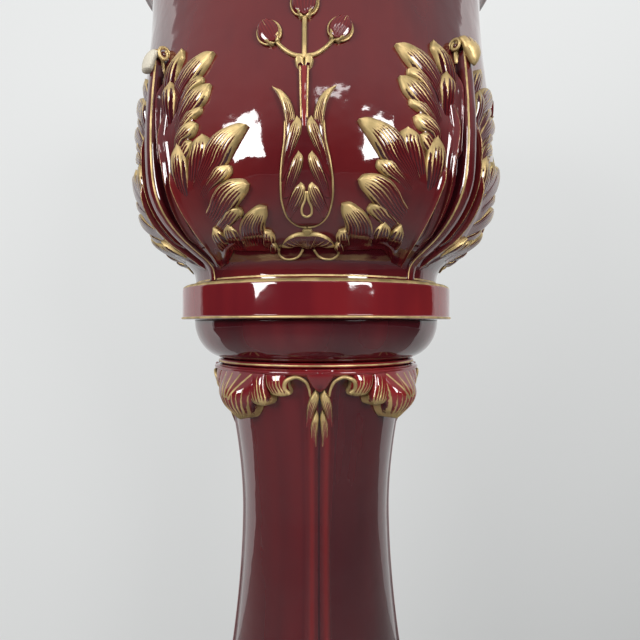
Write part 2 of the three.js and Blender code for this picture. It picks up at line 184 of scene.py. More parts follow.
def add_piece(name, surfaces, material, body, stands_for):
    """One object of several closed grids, in place of a CAD node. Doubles at the poles are merged,
    open ends are filled, and the faces are turned outwards."""
    sizes = [s["points"].shape[:2] for s in surfaces]
    starts = np.cumsum([0] + [rows * columns for rows, columns in sizes])
    corners_all = np.concatenate([s["points"].reshape(-1, 3) for s in surfaces]) * MM
    quads = np.concatenate([grid_faces(*size, start) for size, start in zip(sizes, starts)])
    mesh = bpy.data.meshes.new(name)
    mesh.from_pydata(corners_all, [], quads)
    paint = mesh.attributes.new("paint", "FLOAT_VECTOR", "POINT")
    paint.data.foreach_set("vector", np.concatenate([s["paint"].reshape(-1) for s in surfaces]))
    hollow = mesh.attributes.new("hollow", "FLOAT", "POINT")
    hollow.data.foreach_set("value", np.concatenate([s["hollow"].reshape(-1) for s in surfaces]))
    shell = bmesh.new()
    shell.from_mesh(mesh)
    bmesh.ops.remove_doubles(shell, verts=shell.verts, dist=2e-6)
    bmesh.ops.holes_fill(shell, edges=shell.edges, sides=0)
    bmesh.ops.recalc_face_normals(shell, faces=shell.faces)
    shell.to_mesh(mesh)
    shell.free()
    mesh.polygons.foreach_set("use_smooth", np.ones(len(mesh.polygons), bool))
    mesh.materials.append(material)
    piece = bpy.data.objects.new(name, mesh)
    bpy.context.scene.collection.objects.link(piece)
    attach(piece, body)
    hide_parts(stands_for)


def about_axis(surfaces, degrees):
    """The same surfaces turned about the Z axis: x' = x cos - y sin, y' = x sin + y cos."""
    c, s = np.cos(np.radians(degrees)), np.sin(np.radians(degrees))
    turn = np.array([[c, s, 0], [-s, c, 0], [0, 0, 1]])
    return [{**part, "points": part["points"] @ turn} for part in surfaces]


def set_round(kind, places, surfaces, material, body, turn=0.0):
    """One piece at each place round the axis, each in place of the node of its name."""
    for where, degrees in places.items():
        node = f"{kind}_{where}"
        add_piece(node + "_modelled", about_axis(surfaces, degrees + turn), material, body,
                  node)
    print(f"{kind}: {len(surfaces)} surfaces at each of {list(places)}")


print("quads of a 3 x 4 grid:", len(grid_faces(3, 4, 0)))

# %% [markdown]
# ## The majolica glaze and its gilding
#
# One material does both, as one kiln did. The glaze is a clear, glossy red over a pale body: thick
# and almost black in the grooves, thin and bright on the crests, and cloudy where it ran. The gold
# is a brushed metal, duller than the glaze around it. The paint values decide where it lies, and a
# little noise makes the strokes uneven and worn, which flat decals would not be.

# %% Small helpers for shader nodes
class Nodes:
    """Short names for the nodes of one material, or of the world."""

    def __init__(self, owner):
        self.owner = owner
        owner.use_nodes = True
        self.tree = owner.node_tree
        self.shader = self.tree.nodes.get("Principled BSDF")

    def add(self, kind, inputs=(), **settings):
        """A node of one kind, with its settings and its inputs, which are values or outputs."""
        node = self.tree.nodes.new(kind)
        for key, value in settings.items():
            setattr(node, key, value)
        for socket, value in dict(inputs).items():
            self.feed(node.inputs[socket], value)
        return node

    def feed(self, socket, value):
        """Links an output to a socket, or sets the socket to a value."""
        if isinstance(value, bpy.types.NodeSocket):
            self.tree.links.new(value, socket)
        else:
            socket.default_value = value

    def math(self, operation, *values, clamp=False):
        """Result of one sum on values or outputs."""
        node = self.add("ShaderNodeMath", enumerate(values), operation=operation, use_clamp=clamp)
        return node.outputs[0]

    def mix(self, factor, first, second):
        """Colour between two colours."""
        node = self.add("ShaderNodeMix", {0: factor, 6: first, 7: second}, data_type="RGBA")
        return node.outputs[2]

    def blend(self, factor, first, second):
        """Shader between two shaders."""
        return self.add("ShaderNodeMixShader", {0: factor, 1: first, 2: second}).outputs[0]

    def glow(self, colour, strength):
        """Emission."""
        return self.add("ShaderNodeEmission", {"Color": colour, "Strength": strength}).outputs[0]

    def clear(self):
        """Nothing, as through clean glass."""
        return self.add("ShaderNodeBsdfTransparent").outputs[0]

    def attribute(self, name, output):
        """An attribute of the mesh."""
        return self.add("ShaderNodeAttribute", attribute_name=name).outputs[output]

    def finish(self, shader):
        """Links the shader to the output, and gives the finished material."""
        self.feed(self.tree.nodes["Material Output"].inputs["Surface"], shader)
        return self.owner

    def noise(self, scale, detail=2.0, stretch=(1, 1, 1), roughness=0.5):
        """Noise on Object coordinates, scale in waves per metre, stretched along an axis."""
        place = self.add("ShaderNodeTexCoord").outputs["Object"]
        mapping = self.add("ShaderNodeMapping", {"Vector": place, "Scale": stretch}).outputs[0]
        inputs = {"Vector": mapping, "Scale": scale, "Detail": detail, "Roughness": roughness}
        return self.add("ShaderNodeTexNoise", inputs).outputs[0]

    def ramp(self, value, low, high):
        """0 below low, 1 above high, and a soft step between."""
        inputs = {"Value": value, "From Min": low, "From Max": high}
        return self.add("ShaderNodeMapRange", inputs, interpolation_type="SMOOTHSTEP").outputs[0]


print("node helpers:", [name for name in vars(Nodes) if not name.startswith("_")])

# %% Colours of the glaze and the gold
# Each coat is the glaze where it lies thin, and where it lies thick.
pot_coat = [(0.106, 0.009, 0.010, 1), (0.058, 0.0055, 0.008, 1)]
stand_coat = [(0.195, 0.013, 0.015, 1), (0.100, 0.007, 0.011, 1)]      # plate, capital and base
shaft_coat = [(0.092, 0.006, 0.009, 1), (0.036, 0.0035, 0.0065, 1)]    # shaft and collar
glaze_crest = (0.180, 0.012, 0.012, 1)                  # where the pale body shines through
glaze_pooled = (0.016, 0.0025, 0.006, 1)                # in grooves
gold_bright = (0.600, 0.440, 0.200, 1)
gold_dull = (0.340, 0.250, 0.105, 1)
bare_clay = (0.520, 0.480, 0.390, 1)                    # where a hook is chipped
chip_mark = 3.0                                         # the `hollow` that stands for bare clay
glaze_ior = 1.62                                        # a lead glaze bends light more than glass


def gilt_mask(nodes):
    """Where the gold lies: solid tips, strokes that thin out and lines, less what has worn off."""
    split = nodes.add("ShaderNodeSeparateXYZ", {0: nodes.attribute("paint", "Vector")})
    stroke, gold, line = split.outputs
    wobble = nodes.math("SUBTRACT", nodes.noise(380, 3), 0.5)
    gold = nodes.math("MULTIPLY_ADD", wobble, 0.30, gold)
    stroke = nodes.math("MULTIPLY_ADD", wobble, 0.35, stroke)
    number = nodes.math("ROUND", stroke)
    chance = nodes.add("ShaderNodeTexWhiteNoise", {"W": number}, noise_dimensions="1D").outputs[0]
    aside = nodes.math("MULTIPLY", nodes.math("PINGPONG", stroke, 0.5), 2.0)
    reach = nodes.math("MULTIPLY_ADD", chance, -0.35, gold)
    width = nodes.math("POWER", nodes.math("MAXIMUM", reach, 0.0), 1.35)
    strokes = nodes.ramp(nodes.math("SUBTRACT", width, aside), 0.0, 0.14)
    solid = nodes.ramp(gold, 0.88, 1.02)
    lined = nodes.ramp(nodes.math("MULTIPLY_ADD", wobble, 0.25, line), 0.42, 0.58)
    mask = nodes.math("MAXIMUM", nodes.math("MAXIMUM", strokes, solid), lined)
    worn = nodes.ramp(nodes.noise(900, 2, roughness=0.7), 0.68, 0.76)
    return nodes.math("MULTIPLY", mask, nodes.math("MULTIPLY_ADD", worn, -0.55, 1.0), clamp=True)


def majolica(name, coat, streaks, ripples=0.5):
    """Red majolica glaze with its gilding. `streaks` says how much taller than wide its clouds
    are, and `ripples` how uneven its skin is."""
    nodes = Nodes(bpy.data.materials.new(name))
    hollow = nodes.attribute("hollow", "Fac")
    clouds = nodes.noise(9, 3, stretch=(1, 1, 1 / streaks), roughness=0.6)
    runs = nodes.noise(60, 2, stretch=(1, 1, 0.12 / streaks))
    runs = nodes.math("MULTIPLY", runs, 0.25)
    thick = nodes.math("ADD", nodes.math("MULTIPLY", clouds, 1.4), runs)
    glaze = nodes.mix(nodes.ramp(thick, 0.55, 1.15), *coat)
    glaze = nodes.mix(nodes.ramp(hollow, -1.0, -0.1), glaze_crest, glaze)
    glaze = nodes.mix(nodes.ramp(hollow, 0.0, 1.0), glaze, glaze_pooled)
    chip = nodes.ramp(hollow, chip_mark - 1.2, chip_mark - 0.8)
    shine = nodes.noise(70, 3)
    gold = nodes.mix(nodes.ramp(shine, 0.35, 0.65), gold_dull, gold_bright)
    mask = nodes.math("MULTIPLY", gilt_mask(nodes), nodes.math("SUBTRACT", 1.0, chip))
    finished = nodes.mix(chip, nodes.mix(mask, glaze, gold), bare_clay)
    nodes.feed(nodes.shader.inputs["Base Color"], finished)
    nodes.feed(nodes.shader.inputs["Metallic"], nodes.math("MULTIPLY", mask, 0.70))
    gold_rough = nodes.math("MULTIPLY_ADD", nodes.noise(500, 2), 0.20, 0.42)
    glaze_rough = nodes.math("MULTIPLY_ADD", nodes.noise(14, 2), 0.05, 0.03)
    glaze_rough = nodes.math("MULTIPLY_ADD", chip, 0.8, glaze_rough)
    rough = nodes.add("ShaderNodeMix", {0: mask, 2: glaze_rough, 3: gold_rough}).outputs[0]
    nodes.feed(nodes.shader.inputs["Roughness"], rough)
    ripple = nodes.math("MULTIPLY_ADD", nodes.noise(300, 2), 0.030, nodes.noise(30, 2))
    raised = nodes.math("MULTIPLY_ADD", mask, 0.02, ripple)
    crumbs = nodes.math("MULTIPLY", chip, nodes.noise(450, 4))
    raised = nodes.math("MULTIPLY_ADD", crumbs, 0.35, raised)
    bump = nodes.add("ShaderNodeBump", {"Strength": ripples, "Distance": 0.0022, "Height": raised})
    nodes.feed(nodes.shader.inputs["Normal"], bump.outputs[0])
    nodes.shader.inputs["IOR"].default_value = glaze_ior
    return nodes.owner


pot_glaze = majolica("pot_glaze", pot_coat, streaks=2.0)
stand_glaze = majolica("stand_glaze", stand_coat, streaks=3.0, ripples=0.28)
shaft_glaze = majolica("shaft_glaze", shaft_coat, streaks=8.0, ripples=0.28)
print("materials:", pot_glaze.name, stand_glaze.name, shaft_glaze.name)

# %% [markdown]
# ## Turned pieces
#
# The wall of the pot and the mouldings of the stand were turned against a profile on the wheel, so
# each is a profile carried round the axis. Subdividing the facets of the solids would round them
# too, but would also shrink the mouldings. A thin gilt line is a stretch of the profile that is
# marked as painted.

# %% A profile carried round the axis
def turned(profile, lines=(), sides=144, pooled=0.0):
    """Profile of (radius, height) carried round: x = radius sin, y = -radius cos of the angle.

    `lines` holds (lowest height, highest height, least radius) of the gilt bands.
    """
    profile = np.asarray(profile, float)
    angle = np.linspace(0, 2 * np.pi, sides, endpoint=False)
    radius, height = profile[:, :1], profile[:, 1:]
    level = np.broadcast_to(height, (len(profile), sides))
    points = np.stack([radius * np.sin(angle), -radius * np.cos(angle), level], -1)
    painted = np.zeros((len(profile), 1))
    for low, high, least in lines:
        painted = np.maximum(painted, (height > low) & (height < high) & (radius > least))
    return surface(points, (0.0, -1.0, painted), pooled)


def dense(profile, step):
    """The same broken line with points no more than a step apart."""
    parts = []
    for (r0, z0), (r1, z1) in zip(profile[:-1], profile[1:]):
        count = max(1, int(np.ceil(np.hypot(r1 - r0, z1 - z0) / step)))
        share = np.arange(count)[:, None] / count
        parts.append(np.array([[r0, z0]]) * (1 - share) + np.array([[r1, z1]]) * share)
    return np.concatenate([*parts, [profile[-1]]])


def ring(profile, step=1.5):
    """A profile closed on its first point, dense enough for its gilt lines."""
    return dense([*profile, profile[0]], step)


plate_radius = 150.0
plate_shoulder = 5.0
seat_radius = 137.0
seat_depth = 3.0
vent_radius = 18.0
bead = 1.2                           # how far the plate's lower bead stands out
seat_floor = plate_top - seat_depth
plate_wall = plate_radius - bead
plate_profile = ring([
    (vent_radius, plate_foot),
    *arc((plate_radius - 2.4, plate_foot + 1.8), (2.4, 1.8), -90, 60, 8),
    (plate_wall, plate_foot + 3.8),
    *arc((plate_wall - plate_shoulder, plate_top - plate_shoulder), (plate_shoulder,) * 2,
         0, 90, 12),
    (seat_radius + 0.6, plate_top),
    (seat_radius, plate_top - 0.6),
    (seat_radius, seat_floor),
    (vent_radius, seat_floor),
])
gilt_shoulder = (plate_top - 3.0, plate_top + 1, plate_radius - 4.8)
gilt_bead = (plate_foot + 0.8, plate_foot + 2.9, plate_radius - 3.2)
plate = turned(plate_profile, [gilt_shoulder, gilt_bead])
add_piece("top_plate_glazed", [plate], stand_glaze, "pedestal", "top_plate")
print("plate profile has", len(plate_profile), "points")

# %% Collar, ring and base mouldings
collar_top_radius = 136.0
collar_foot_radius = 101.0
clay_wall = 11.0
collar_profile = ring([
    (collar_foot_radius - clay_wall, collar_foot),
    *arc((collar_foot_radius, collar_top),
         (collar_top_radius - collar_foot_radius, collar_top - collar_foot), -90, 0, 24),
    (collar_top_radius - clay_wall, collar_top),
])
collar = turned(collar_profile)
add_piece("collar_glazed", [collar], shaft_glaze, "pedestal", "collar")

ring_radius = 110.0
ring_middle = (ring_foot + ring_top) / 2
ring_inner = 95.0
ring_profile = ring([
    (ring_inner, ring_foot),
    *arc((ring_radius - 2.5, ring_middle), (2.5, 2.5), -90, 90, 12),
    (ring_inner, ring_top),
])
capital_line = (ring_middle - 0.7, ring_middle + 0.8, ring_radius - 0.8)
capital_ring = turned(ring_profile, [capital_line])
add_piece("capital_ring_gilt", [capital_ring], stand_glaze, "pedestal",
          "capital_ring")

plinth_radius = 158.0
torus_radius = 147.0
fillet_radius = 136.0
plinth_top = level("base_plinth", top=True)
torus_foot, torus_top = level("base_torus"), level("base_torus", top=True)
fillet_foot, fillet_top = level("base_fillet"), level("base_fillet", top=True)
base_inner = fillet_radius - clay_wall
plinth_profile = ring([
    (base_inner, 0),
    *arc((plinth_radius - 2.5, 2.5), (2.5, 2.5), -90, 0, 6),
    *arc((plinth_radius - 5, plinth_top - 5), (5, 5), 0, 90, 10),
    (base_inner, plinth_top),
])
torus_profile = ring([
    (base_inner, torus_foot),
    *arc((fillet_radius, (torus_foot + torus_top) / 2),
         (torus_radius - fillet_radius, (torus_top - torus_foot) / 2), -90, 90, 20),
    (base_inner, torus_top),
])
fillet_inner = fillet_radius - 2 * clay_wall
fillet_profile = ring([
    (fillet_inner, fillet_foot),
    *arc((fillet_radius - 1, fillet_foot + 1), (1, 1), -90, 0, 4),
    *arc((fillet_radius - 2, fillet_top - 2), (2, 2), 0, 90, 6),
    (fillet_inner, fillet_top),
])
plinth_line = (plinth_top - 5.4, plinth_top + 1, plinth_radius - 5.2)
fillet_line = (fillet_foot + 1, fillet_top - 0.8, fillet_radius - 1.5)
base_pieces = {
    "base_plinth": turned(plinth_profile, [plinth_line]),
    "base_torus": turned(torus_profile),
    "base_fillet": turned(fillet_profile, [fillet_line]),
}
for name, shape in base_pieces.items():
    add_piece(name + "_glazed", [shape], stand_glaze, "pedestal", name)

# %% [markdown]
# ## The shaft
#
# The column is hollow, drawn in at a waist, and down the middle of each face run two soft reeds
# side by side. They would be a nuisance to model on a turned mesh, so the surface is worked out as
# a function of angle and height: the sweep of the waist plus a bump for each reed.

# %% Shaft
shaft_foot_radius = 130.0
waist_radius = 80.5
waist_height = 415.0
neck_radius = 104.0
sweep_power = 1.8
shaft_wall = 9.0
reed_height = 2.6
reed_half_angle = 4.8                # degrees


def shaft_radius(height):
    """Waist radius plus the spread to either end: share of the way there, to the power 1.8."""
    below = np.clip((waist_height - height) / (waist_height - shaft_foot), 0, None)
    above = np.clip((height - waist_height) / (shaft_top - waist_height), 0, None)
    spread = (shaft_foot_radius - waist_radius) * below**sweep_power
    return waist_radius + spread + (neck_radius - waist_radius) * above**sweep_power


def from_face(degrees):
    """Degrees to the middle of the nearest face."""
    return np.abs(degrees - 90 * np.round(degrees / 90))


def reeds(degrees, height):
    """Two bumps at each face: the square of a sine, 0 at the face's middle and beside the pair.
    They die away in the 25 mm that end 8 mm under the top."""
    reed_angle = 2 * reed_half_angle
    aside = from_face(degrees)
    bumps = np.where(aside < reed_angle, np.sin(np.pi * aside / reed_angle) ** 2, 0)
    return bumps * ease((shaft_top - 8 - height) / 25)


shaft_sides = 360
degrees = np.arange(shaft_sides) * 360 / shaft_sides
outside = np.linspace(shaft_foot, shaft_top, 110)[:, None]
inside = np.linspace(shaft_top, shaft_foot, 30)[:, None]
shaft_r = np.concatenate([
    shaft_radius(outside) + reed_height * reeds(degrees, outside),
    shaft_radius(inside) - shaft_wall + 0 * degrees,
    shaft_radius(outside[:1]) + reed_height * reeds(degrees, outside[:1]),
])
shaft_z = np.concatenate([outside, inside, outside[:1]]) + 0 * degrees
turn = np.radians(degrees)
shaft_points = np.stack([shaft_r * np.sin(turn), -shaft_r * np.cos(turn), shaft_z], -1)
aside = from_face(degrees)
# The glaze pools between the two reeds, and less so beside the pair.
groove = 0.75 * np.exp(-((aside / 1.2) ** 2)) + 0.35 * np.exp(-(((aside - 10.5) / 1.6) ** 2))
shaft = surface(shaft_points, None, groove - 0.55 * reeds(degrees, shaft_z))
add_piece("column_shaft_glazed", [shaft], shaft_glaze, "pedestal", "column_shaft")
print("waist", waist_radius, "neck", neck_radius, "foot", shaft_foot_radius)

# %% [markdown]
# ## The pot's wall
#
# The wall rises from a narrow foot, swells to a low belly, draws in at the neck and rolls over at
# the rim. Its outline is drawn once, because every leaf and tulip has to lie on the same curve.

# %% Wall of the pot
wall_outline = np.array([
    (134.5, 0), (134.8, 10.7), (136.3, 16.7), (140.8, 22.7), (152.0, 31.7), (164.2, 41.7),
    (173.2, 51.7), (180.0, 61.7), (185.0, 71.7), (188.6, 82), (190.8, 93.7), (192.0, 108),
    (192.5, 127), (191.8, 151.7), (190.2, 172.7), (188.2, 191.7), (185.9, 211.7), (183.2, 235),
    (180.6, 262), (179.5, 284), (179.6, 300), (180.8, 316), (184.0, 325.5), (191.5, 331.7),
])
wall = smooth(wall_outline + [0, pot_foot], 500)
wall_slope = np.gradient(wall[:, 0], wall[:, 1])
foot_radius = wall_outline[0, 0]
foot_ring_width = 14.0
foot_ring_depth = 7.0
pot_wall = 9.0
lip_radius = 197.0
lip_roll = 5.5
floor_thickness = 11.0
floor_rounding = 8.0
underside = pot_foot + foot_ring_depth
pot_floor = underside + floor_thickness
ring_inside = foot_radius - foot_ring_width
inner_foot = foot_radius - pot_wall - floor_rounding
inside_wall = wall[::-8] - [pot_wall, 0]
kept = (inside_wall[:, 1] > pot_floor + floor_rounding) & (inside_wall[:, 1] < pot_top - 12)
pot_profile = np.concatenate([
    dense([(0, underside), (ring_inside, underside), (ring_inside, pot_foot)], 12),
    wall[::2],
    arc((lip_radius - lip_roll, pot_top - lip_roll), (lip_roll, lip_roll), -70, 180, 16),
    inside_wall[kept],
    arc((inner_foot, pot_floor + floor_rounding), (floor_rounding,) * 2, 0, -90, 6),
    dense([(inner_foot, pot_floor), (0, pot_floor)], 12),
])
foot_line = (pot_foot + 5.0, pot_foot + 7.0, foot_radius - 1.5)
lip_line = (pot_top - 8.2, pot_top - 5.0, lip_radius - 1.5)
# Painted shade: the glaze is darkened in the cove over the foot.
cove_painted_shade = 0.55 * np.exp(-(((pot_profile[:, 1:] - pot_foot - 24) / 13) ** 2))
bowl = turned(pot_profile, [foot_line, lip_line], sides=192, pooled=cove_painted_shade)
add_piece("bowl_glazed", [bowl], pot_glaze, "jardiniere", "bowl")
print("pot profile", len(pot_profile), "points, belly", round(wall[:, 0].max(), 1))


def on_pot(degrees, height, lift):
    """Point of the pot by angle and height, moved off the wall along its normal (1, -slope)."""
    radius = np.interp(height, wall[:, 1], wall[:, 0])
    slope = np.interp(height, wall[:, 1], wall_slope)
    out = 1 / np.sqrt(1 + slope**2)
    r = radius + lift * out
    z = height - lift * slope * out
    a = np.radians(degrees)
    return np.stack([r * np.sin(a), -r * np.cos(a), z + 0 * r], -1)


def on_shaft(degrees, height, lift):
    """Point of the shaft by angle and height, moved straight out."""
    r = shaft_radius(height) + lift
    a = np.radians(degrees)
    return np.stack([r * np.sin(a), -r * np.cos(a), height + 0 * r], -1)


# %% [markdown]
# ## Relief
#
# A pressed lobe of a leaf is a crowned tongue with fine flutes, thin at its root and full at its
# tip. Two edges drawn as curves from root to tip hold its outline, and everything between is ruled
# from one edge to the other, so a lobe costs only a few given points. Sculpting each would
# look as good but couldn't be changed afterwards.

# %% Relief between two edges
def ruled(on, edge_a, edge_b, lift, paint, scale, step):
    """Closed relief on a wall, between two edges of (degrees, height) that run from root to tip.

    With s along and x across from -1 to 1, a point lies at the mean of the edges plus x times half
    their difference, raised by lift(s, x). Columns crowd towards the edges as x = sin(u), and the
    last one lies inside the wall to close the back. `scale` is millimetres to a degree.
    """
    rough = np.array([smooth(edge, 40) for edge in (edge_a, edge_b)]) * [scale, 1]
    length = np.linalg.norm(np.diff(rough, axis=1), axis=2).sum(1).max()
    width = np.linalg.norm(rough[0] - rough[1], axis=1).max()
    rows = max(8, int(length / step[0]))
    columns = max(7, int(width * 1.25 / step[1]))
    a, b = smooth(edge_a, rows), smooth(edge_b, rows)
    s = np.linspace(0, 1, rows)[:, None]
    x = np.sin(np.linspace(-np.pi / 2, np.pi / 2, columns))[None, :]
    degrees = (a[:, :1] + b[:, :1]) / 2 + x * (b[:, :1] - a[:, :1]) / 2
    height = (a[:, 1:] + b[:, 1:]) / 2 + x * (b[:, 1:] - a[:, 1:]) / 2
    front = on(degrees, height, lift(s, x))
    back = on(degrees[:, [-1, 0]], height[:, [-1, 0]], -1.0)
    stroke, gold, line, hollow = (np.broadcast_to(v, (rows, columns)) for v in paint(s, x))
    ends = [-1, 0]
    return surface(
        np.concatenate([front, back], 1),
        [np.concatenate([v, v[:, ends]], 1) for v in (stroke, gold, line)],
        np.concatenate([hollow, hollow[:, ends]], 1),
    )


leaf_scale = 3.3                     # millimetres to a degree, at the belly


def wave(strokes, x):
    """Flutes across a form, 0 on a ridge and 1 in a groove: (1 - cos) / 2, one wave to a stroke."""
    return 0.5 - 0.5 * np.cos(2 * np.pi * strokes * (x + 1) / 2)


def lobe(on, edge_a, edge_b, height, strokes, gold=(0.34, 0.84), root=0.30, flute=0.30, tip=0.62,
         scale=leaf_scale, step=(1.2, 0.7), margin=0.6, shade=-0.2):
    """A lobe: height(s) times a crown (1 - |x|^p)^0.5, less the flutes.

    height(s) rises from its root share to the full height at 75% of the length and falls to its
    tip share, and p falls from 7 to 3, so that the lobe is flat at its root and round at its tip.
    The flutes are cosines, one wave to a stroke of the brush. The gold goes from nothing to solid
    over the two shares in `gold`, with `margin` more at the edges. `shade` is added to the hollow.
    """
    def body(s):
        rise = root + (1 - root) * ease(s / 0.75)
        return height * (rise - (1 - tip) * ease((s - 0.75) / 0.25))

    def lift(s, x):
        crown = np.clip(1 - np.abs(x) ** (7 - 4 * ease(s)), 0, 1) ** 0.5
        return body(s) * crown - flute * wave(strokes, x) * ease(s * 4) * ease((1 - s) * 4) * crown

    def paint(s, x):
        progress = (s - gold[0]) / (gold[1] - gold[0]) + margin * np.abs(x) ** 9 * ease(s * 3)
        groove = 0.7 * wave(strokes, x) * ease(s * 4) + 0.3 * (1 - s) + 0.5 * np.abs(x) ** 8
        upper_line = ease((x - 0.80) / 0.08) * ease((s - 0.12) * 20)
        return strokes * (x + 1) / 2, progress, upper_line, groove + shade

    return ruled(on, edge_a, edge_b, lift, paint, scale, step)


def tube(path, radius, across=None, sides=10, paint=(0.0, 2.0, 1.0), flat=1.0):
    """Bar along a path: path + radius (flat cos(u) b + sin(u) n), with b across and n outwards.
    `flat` is how many times wider than thick the bar is."""
    along = np.gradient(path, axis=0)
    along /= np.linalg.norm(along, axis=1, keepdims=True)
    if across is None:
        out = path * [1, 1, 0]
        out /= np.linalg.norm(out, axis=1, keepdims=True)
        across = np.cross(along, out)
    across = across / np.linalg.norm(across, axis=1, keepdims=True)
    out = np.cross(across, along)
    angle = np.linspace(0, 2 * np.pi, sides, endpoint=False)
    radius = np.broadcast_to(radius, len(path))[:, None, None]
    c, s = np.cos(angle)[None, :, None], np.sin(angle)[None, :, None]
    points = path[:, None] + radius * (flat * c * across[:, None] + s * out[:, None])
    tips = np.stack([np.repeat(points[i].mean(0)[None], sides, 0) for i in (0, -1)])
    return surface(np.concatenate([tips[:1], points, tips[1:]]), paint)


print("a tube has", tube(np.array([[0, -9.0, 0], [1, -9, 1], [2, -9, 3]]), 1.0)["points"].shape)

# %% [markdown]
# ## The acanthus leaves
#
# Four big leaves stand at the corners of the pot. A midrib climbs from the foot and ends in a hook;
# on each side of it the leaf folds into three smaller leaves, each with a raised fold towards the
# midrib and a fringe of gilt lobes on its other side. One half is modelled as angle from the midrib
# and height over the floor; the other half is its mirror image.

# %% The three folded blades and the midrib of half a leaf
def across_table(x, knots):
    """Share at x, read from a smooth curve through (x, share) knots."""
    curve = smooth(knots, 200)
    return np.interp(x, curve[:, 0], curve[:, 1])


def blade(fold, fringe, fold_height, rim, dip, ribs=3, line=0.0):
    """A small leaf, ruled from its fold to its fringe: high and round at the fold, hollow in the
    middle, and up again at the rim under the lobes. `fold_height` is (at the root, at the top)."""
    def height(s):
        return fold_height[0] + (fold_height[1] - fold_height[0]) * ease(s * 1.3)

    def lift(s, x):
        share = across_table(x, [(-1, 0), (-0.96, 0.75), (-0.91, 1), (-0.84, 0.72), (-0.72, 0.22),
                                 (-0.55, 0.03), (-0.3, 0), (1, 0)])
        floor = across_table(x, [(-1, 0), (-0.7, 0.5), (-0.1, 0.4), (0.7, 1), (0.93, 0.8), (1, 0)])
        ripple = 0.15 * np.cos(np.pi * ribs * (x + 1)) * np.sin(np.pi * s) * (1 - np.abs(x))
        ends = ease(s * 12) * ease((1 - s) * 3.2)
        return (height(s) * share + (dip + (rim - dip) * s) * floor + ripple) * ends

    def paint(s, x):
        valley = np.exp(-(((x - 0.15) / 0.45) ** 2)) * (0.25 + 0.4 * (1 - s))
        crest = np.exp(-(((x + 0.91) / 0.08) ** 2))
        edge = line * np.exp(-(((x + 0.91) / 0.035) ** 2)) * (s < 0.93)
        return 0.0, -1.0, edge, valley - 0.5 * crest

    return ruled(on_pot, fold, fringe, lift, paint, leaf_scale, (2.0, 1.0))


lower_blade = blade(
    fold=[(5.5, 672), (7.0, 684), (8.2, 697), (8.9, 712), (8.8, 727), (8.3, 742), (8.2, 758),
          (9.4, 772)],
    fringe=[(12, 676), (18, 688), (29, 696), (27, 716), (25, 738), (22, 760), (12, 768)],
    fold_height=(2.5, 8.0), rim=3.4, dip=2.2, line=0.62,
)
upper_blade = blade(
    fold=[(4.2, 690), (5.0, 712), (5.7, 735), (5.6, 756), (4.6, 778), (3.7, 798), (4.4, 818)],
    fringe=[(8.0, 690), (10, 715), (12, 742), (14.5, 768), (17, 792), (18.5, 818), (11, 833)],
    fold_height=(4.0, 8.5), rim=3.2, dip=2.6, line=0.58,
)
top_blade = blade(
    fold=[(2.6, 760), (2.4, 785), (2.2, 810), (2.6, 832), (4.0, 846)],
    fringe=[(4.5, 760), (6.0, 785), (7.5, 808), (9.0, 828), (9.5, 846)],
    fold_height=(4.0, 7.0), rim=4.6, dip=4.0, ribs=2,
)
print("blade grid", lower_blade["points"].shape)

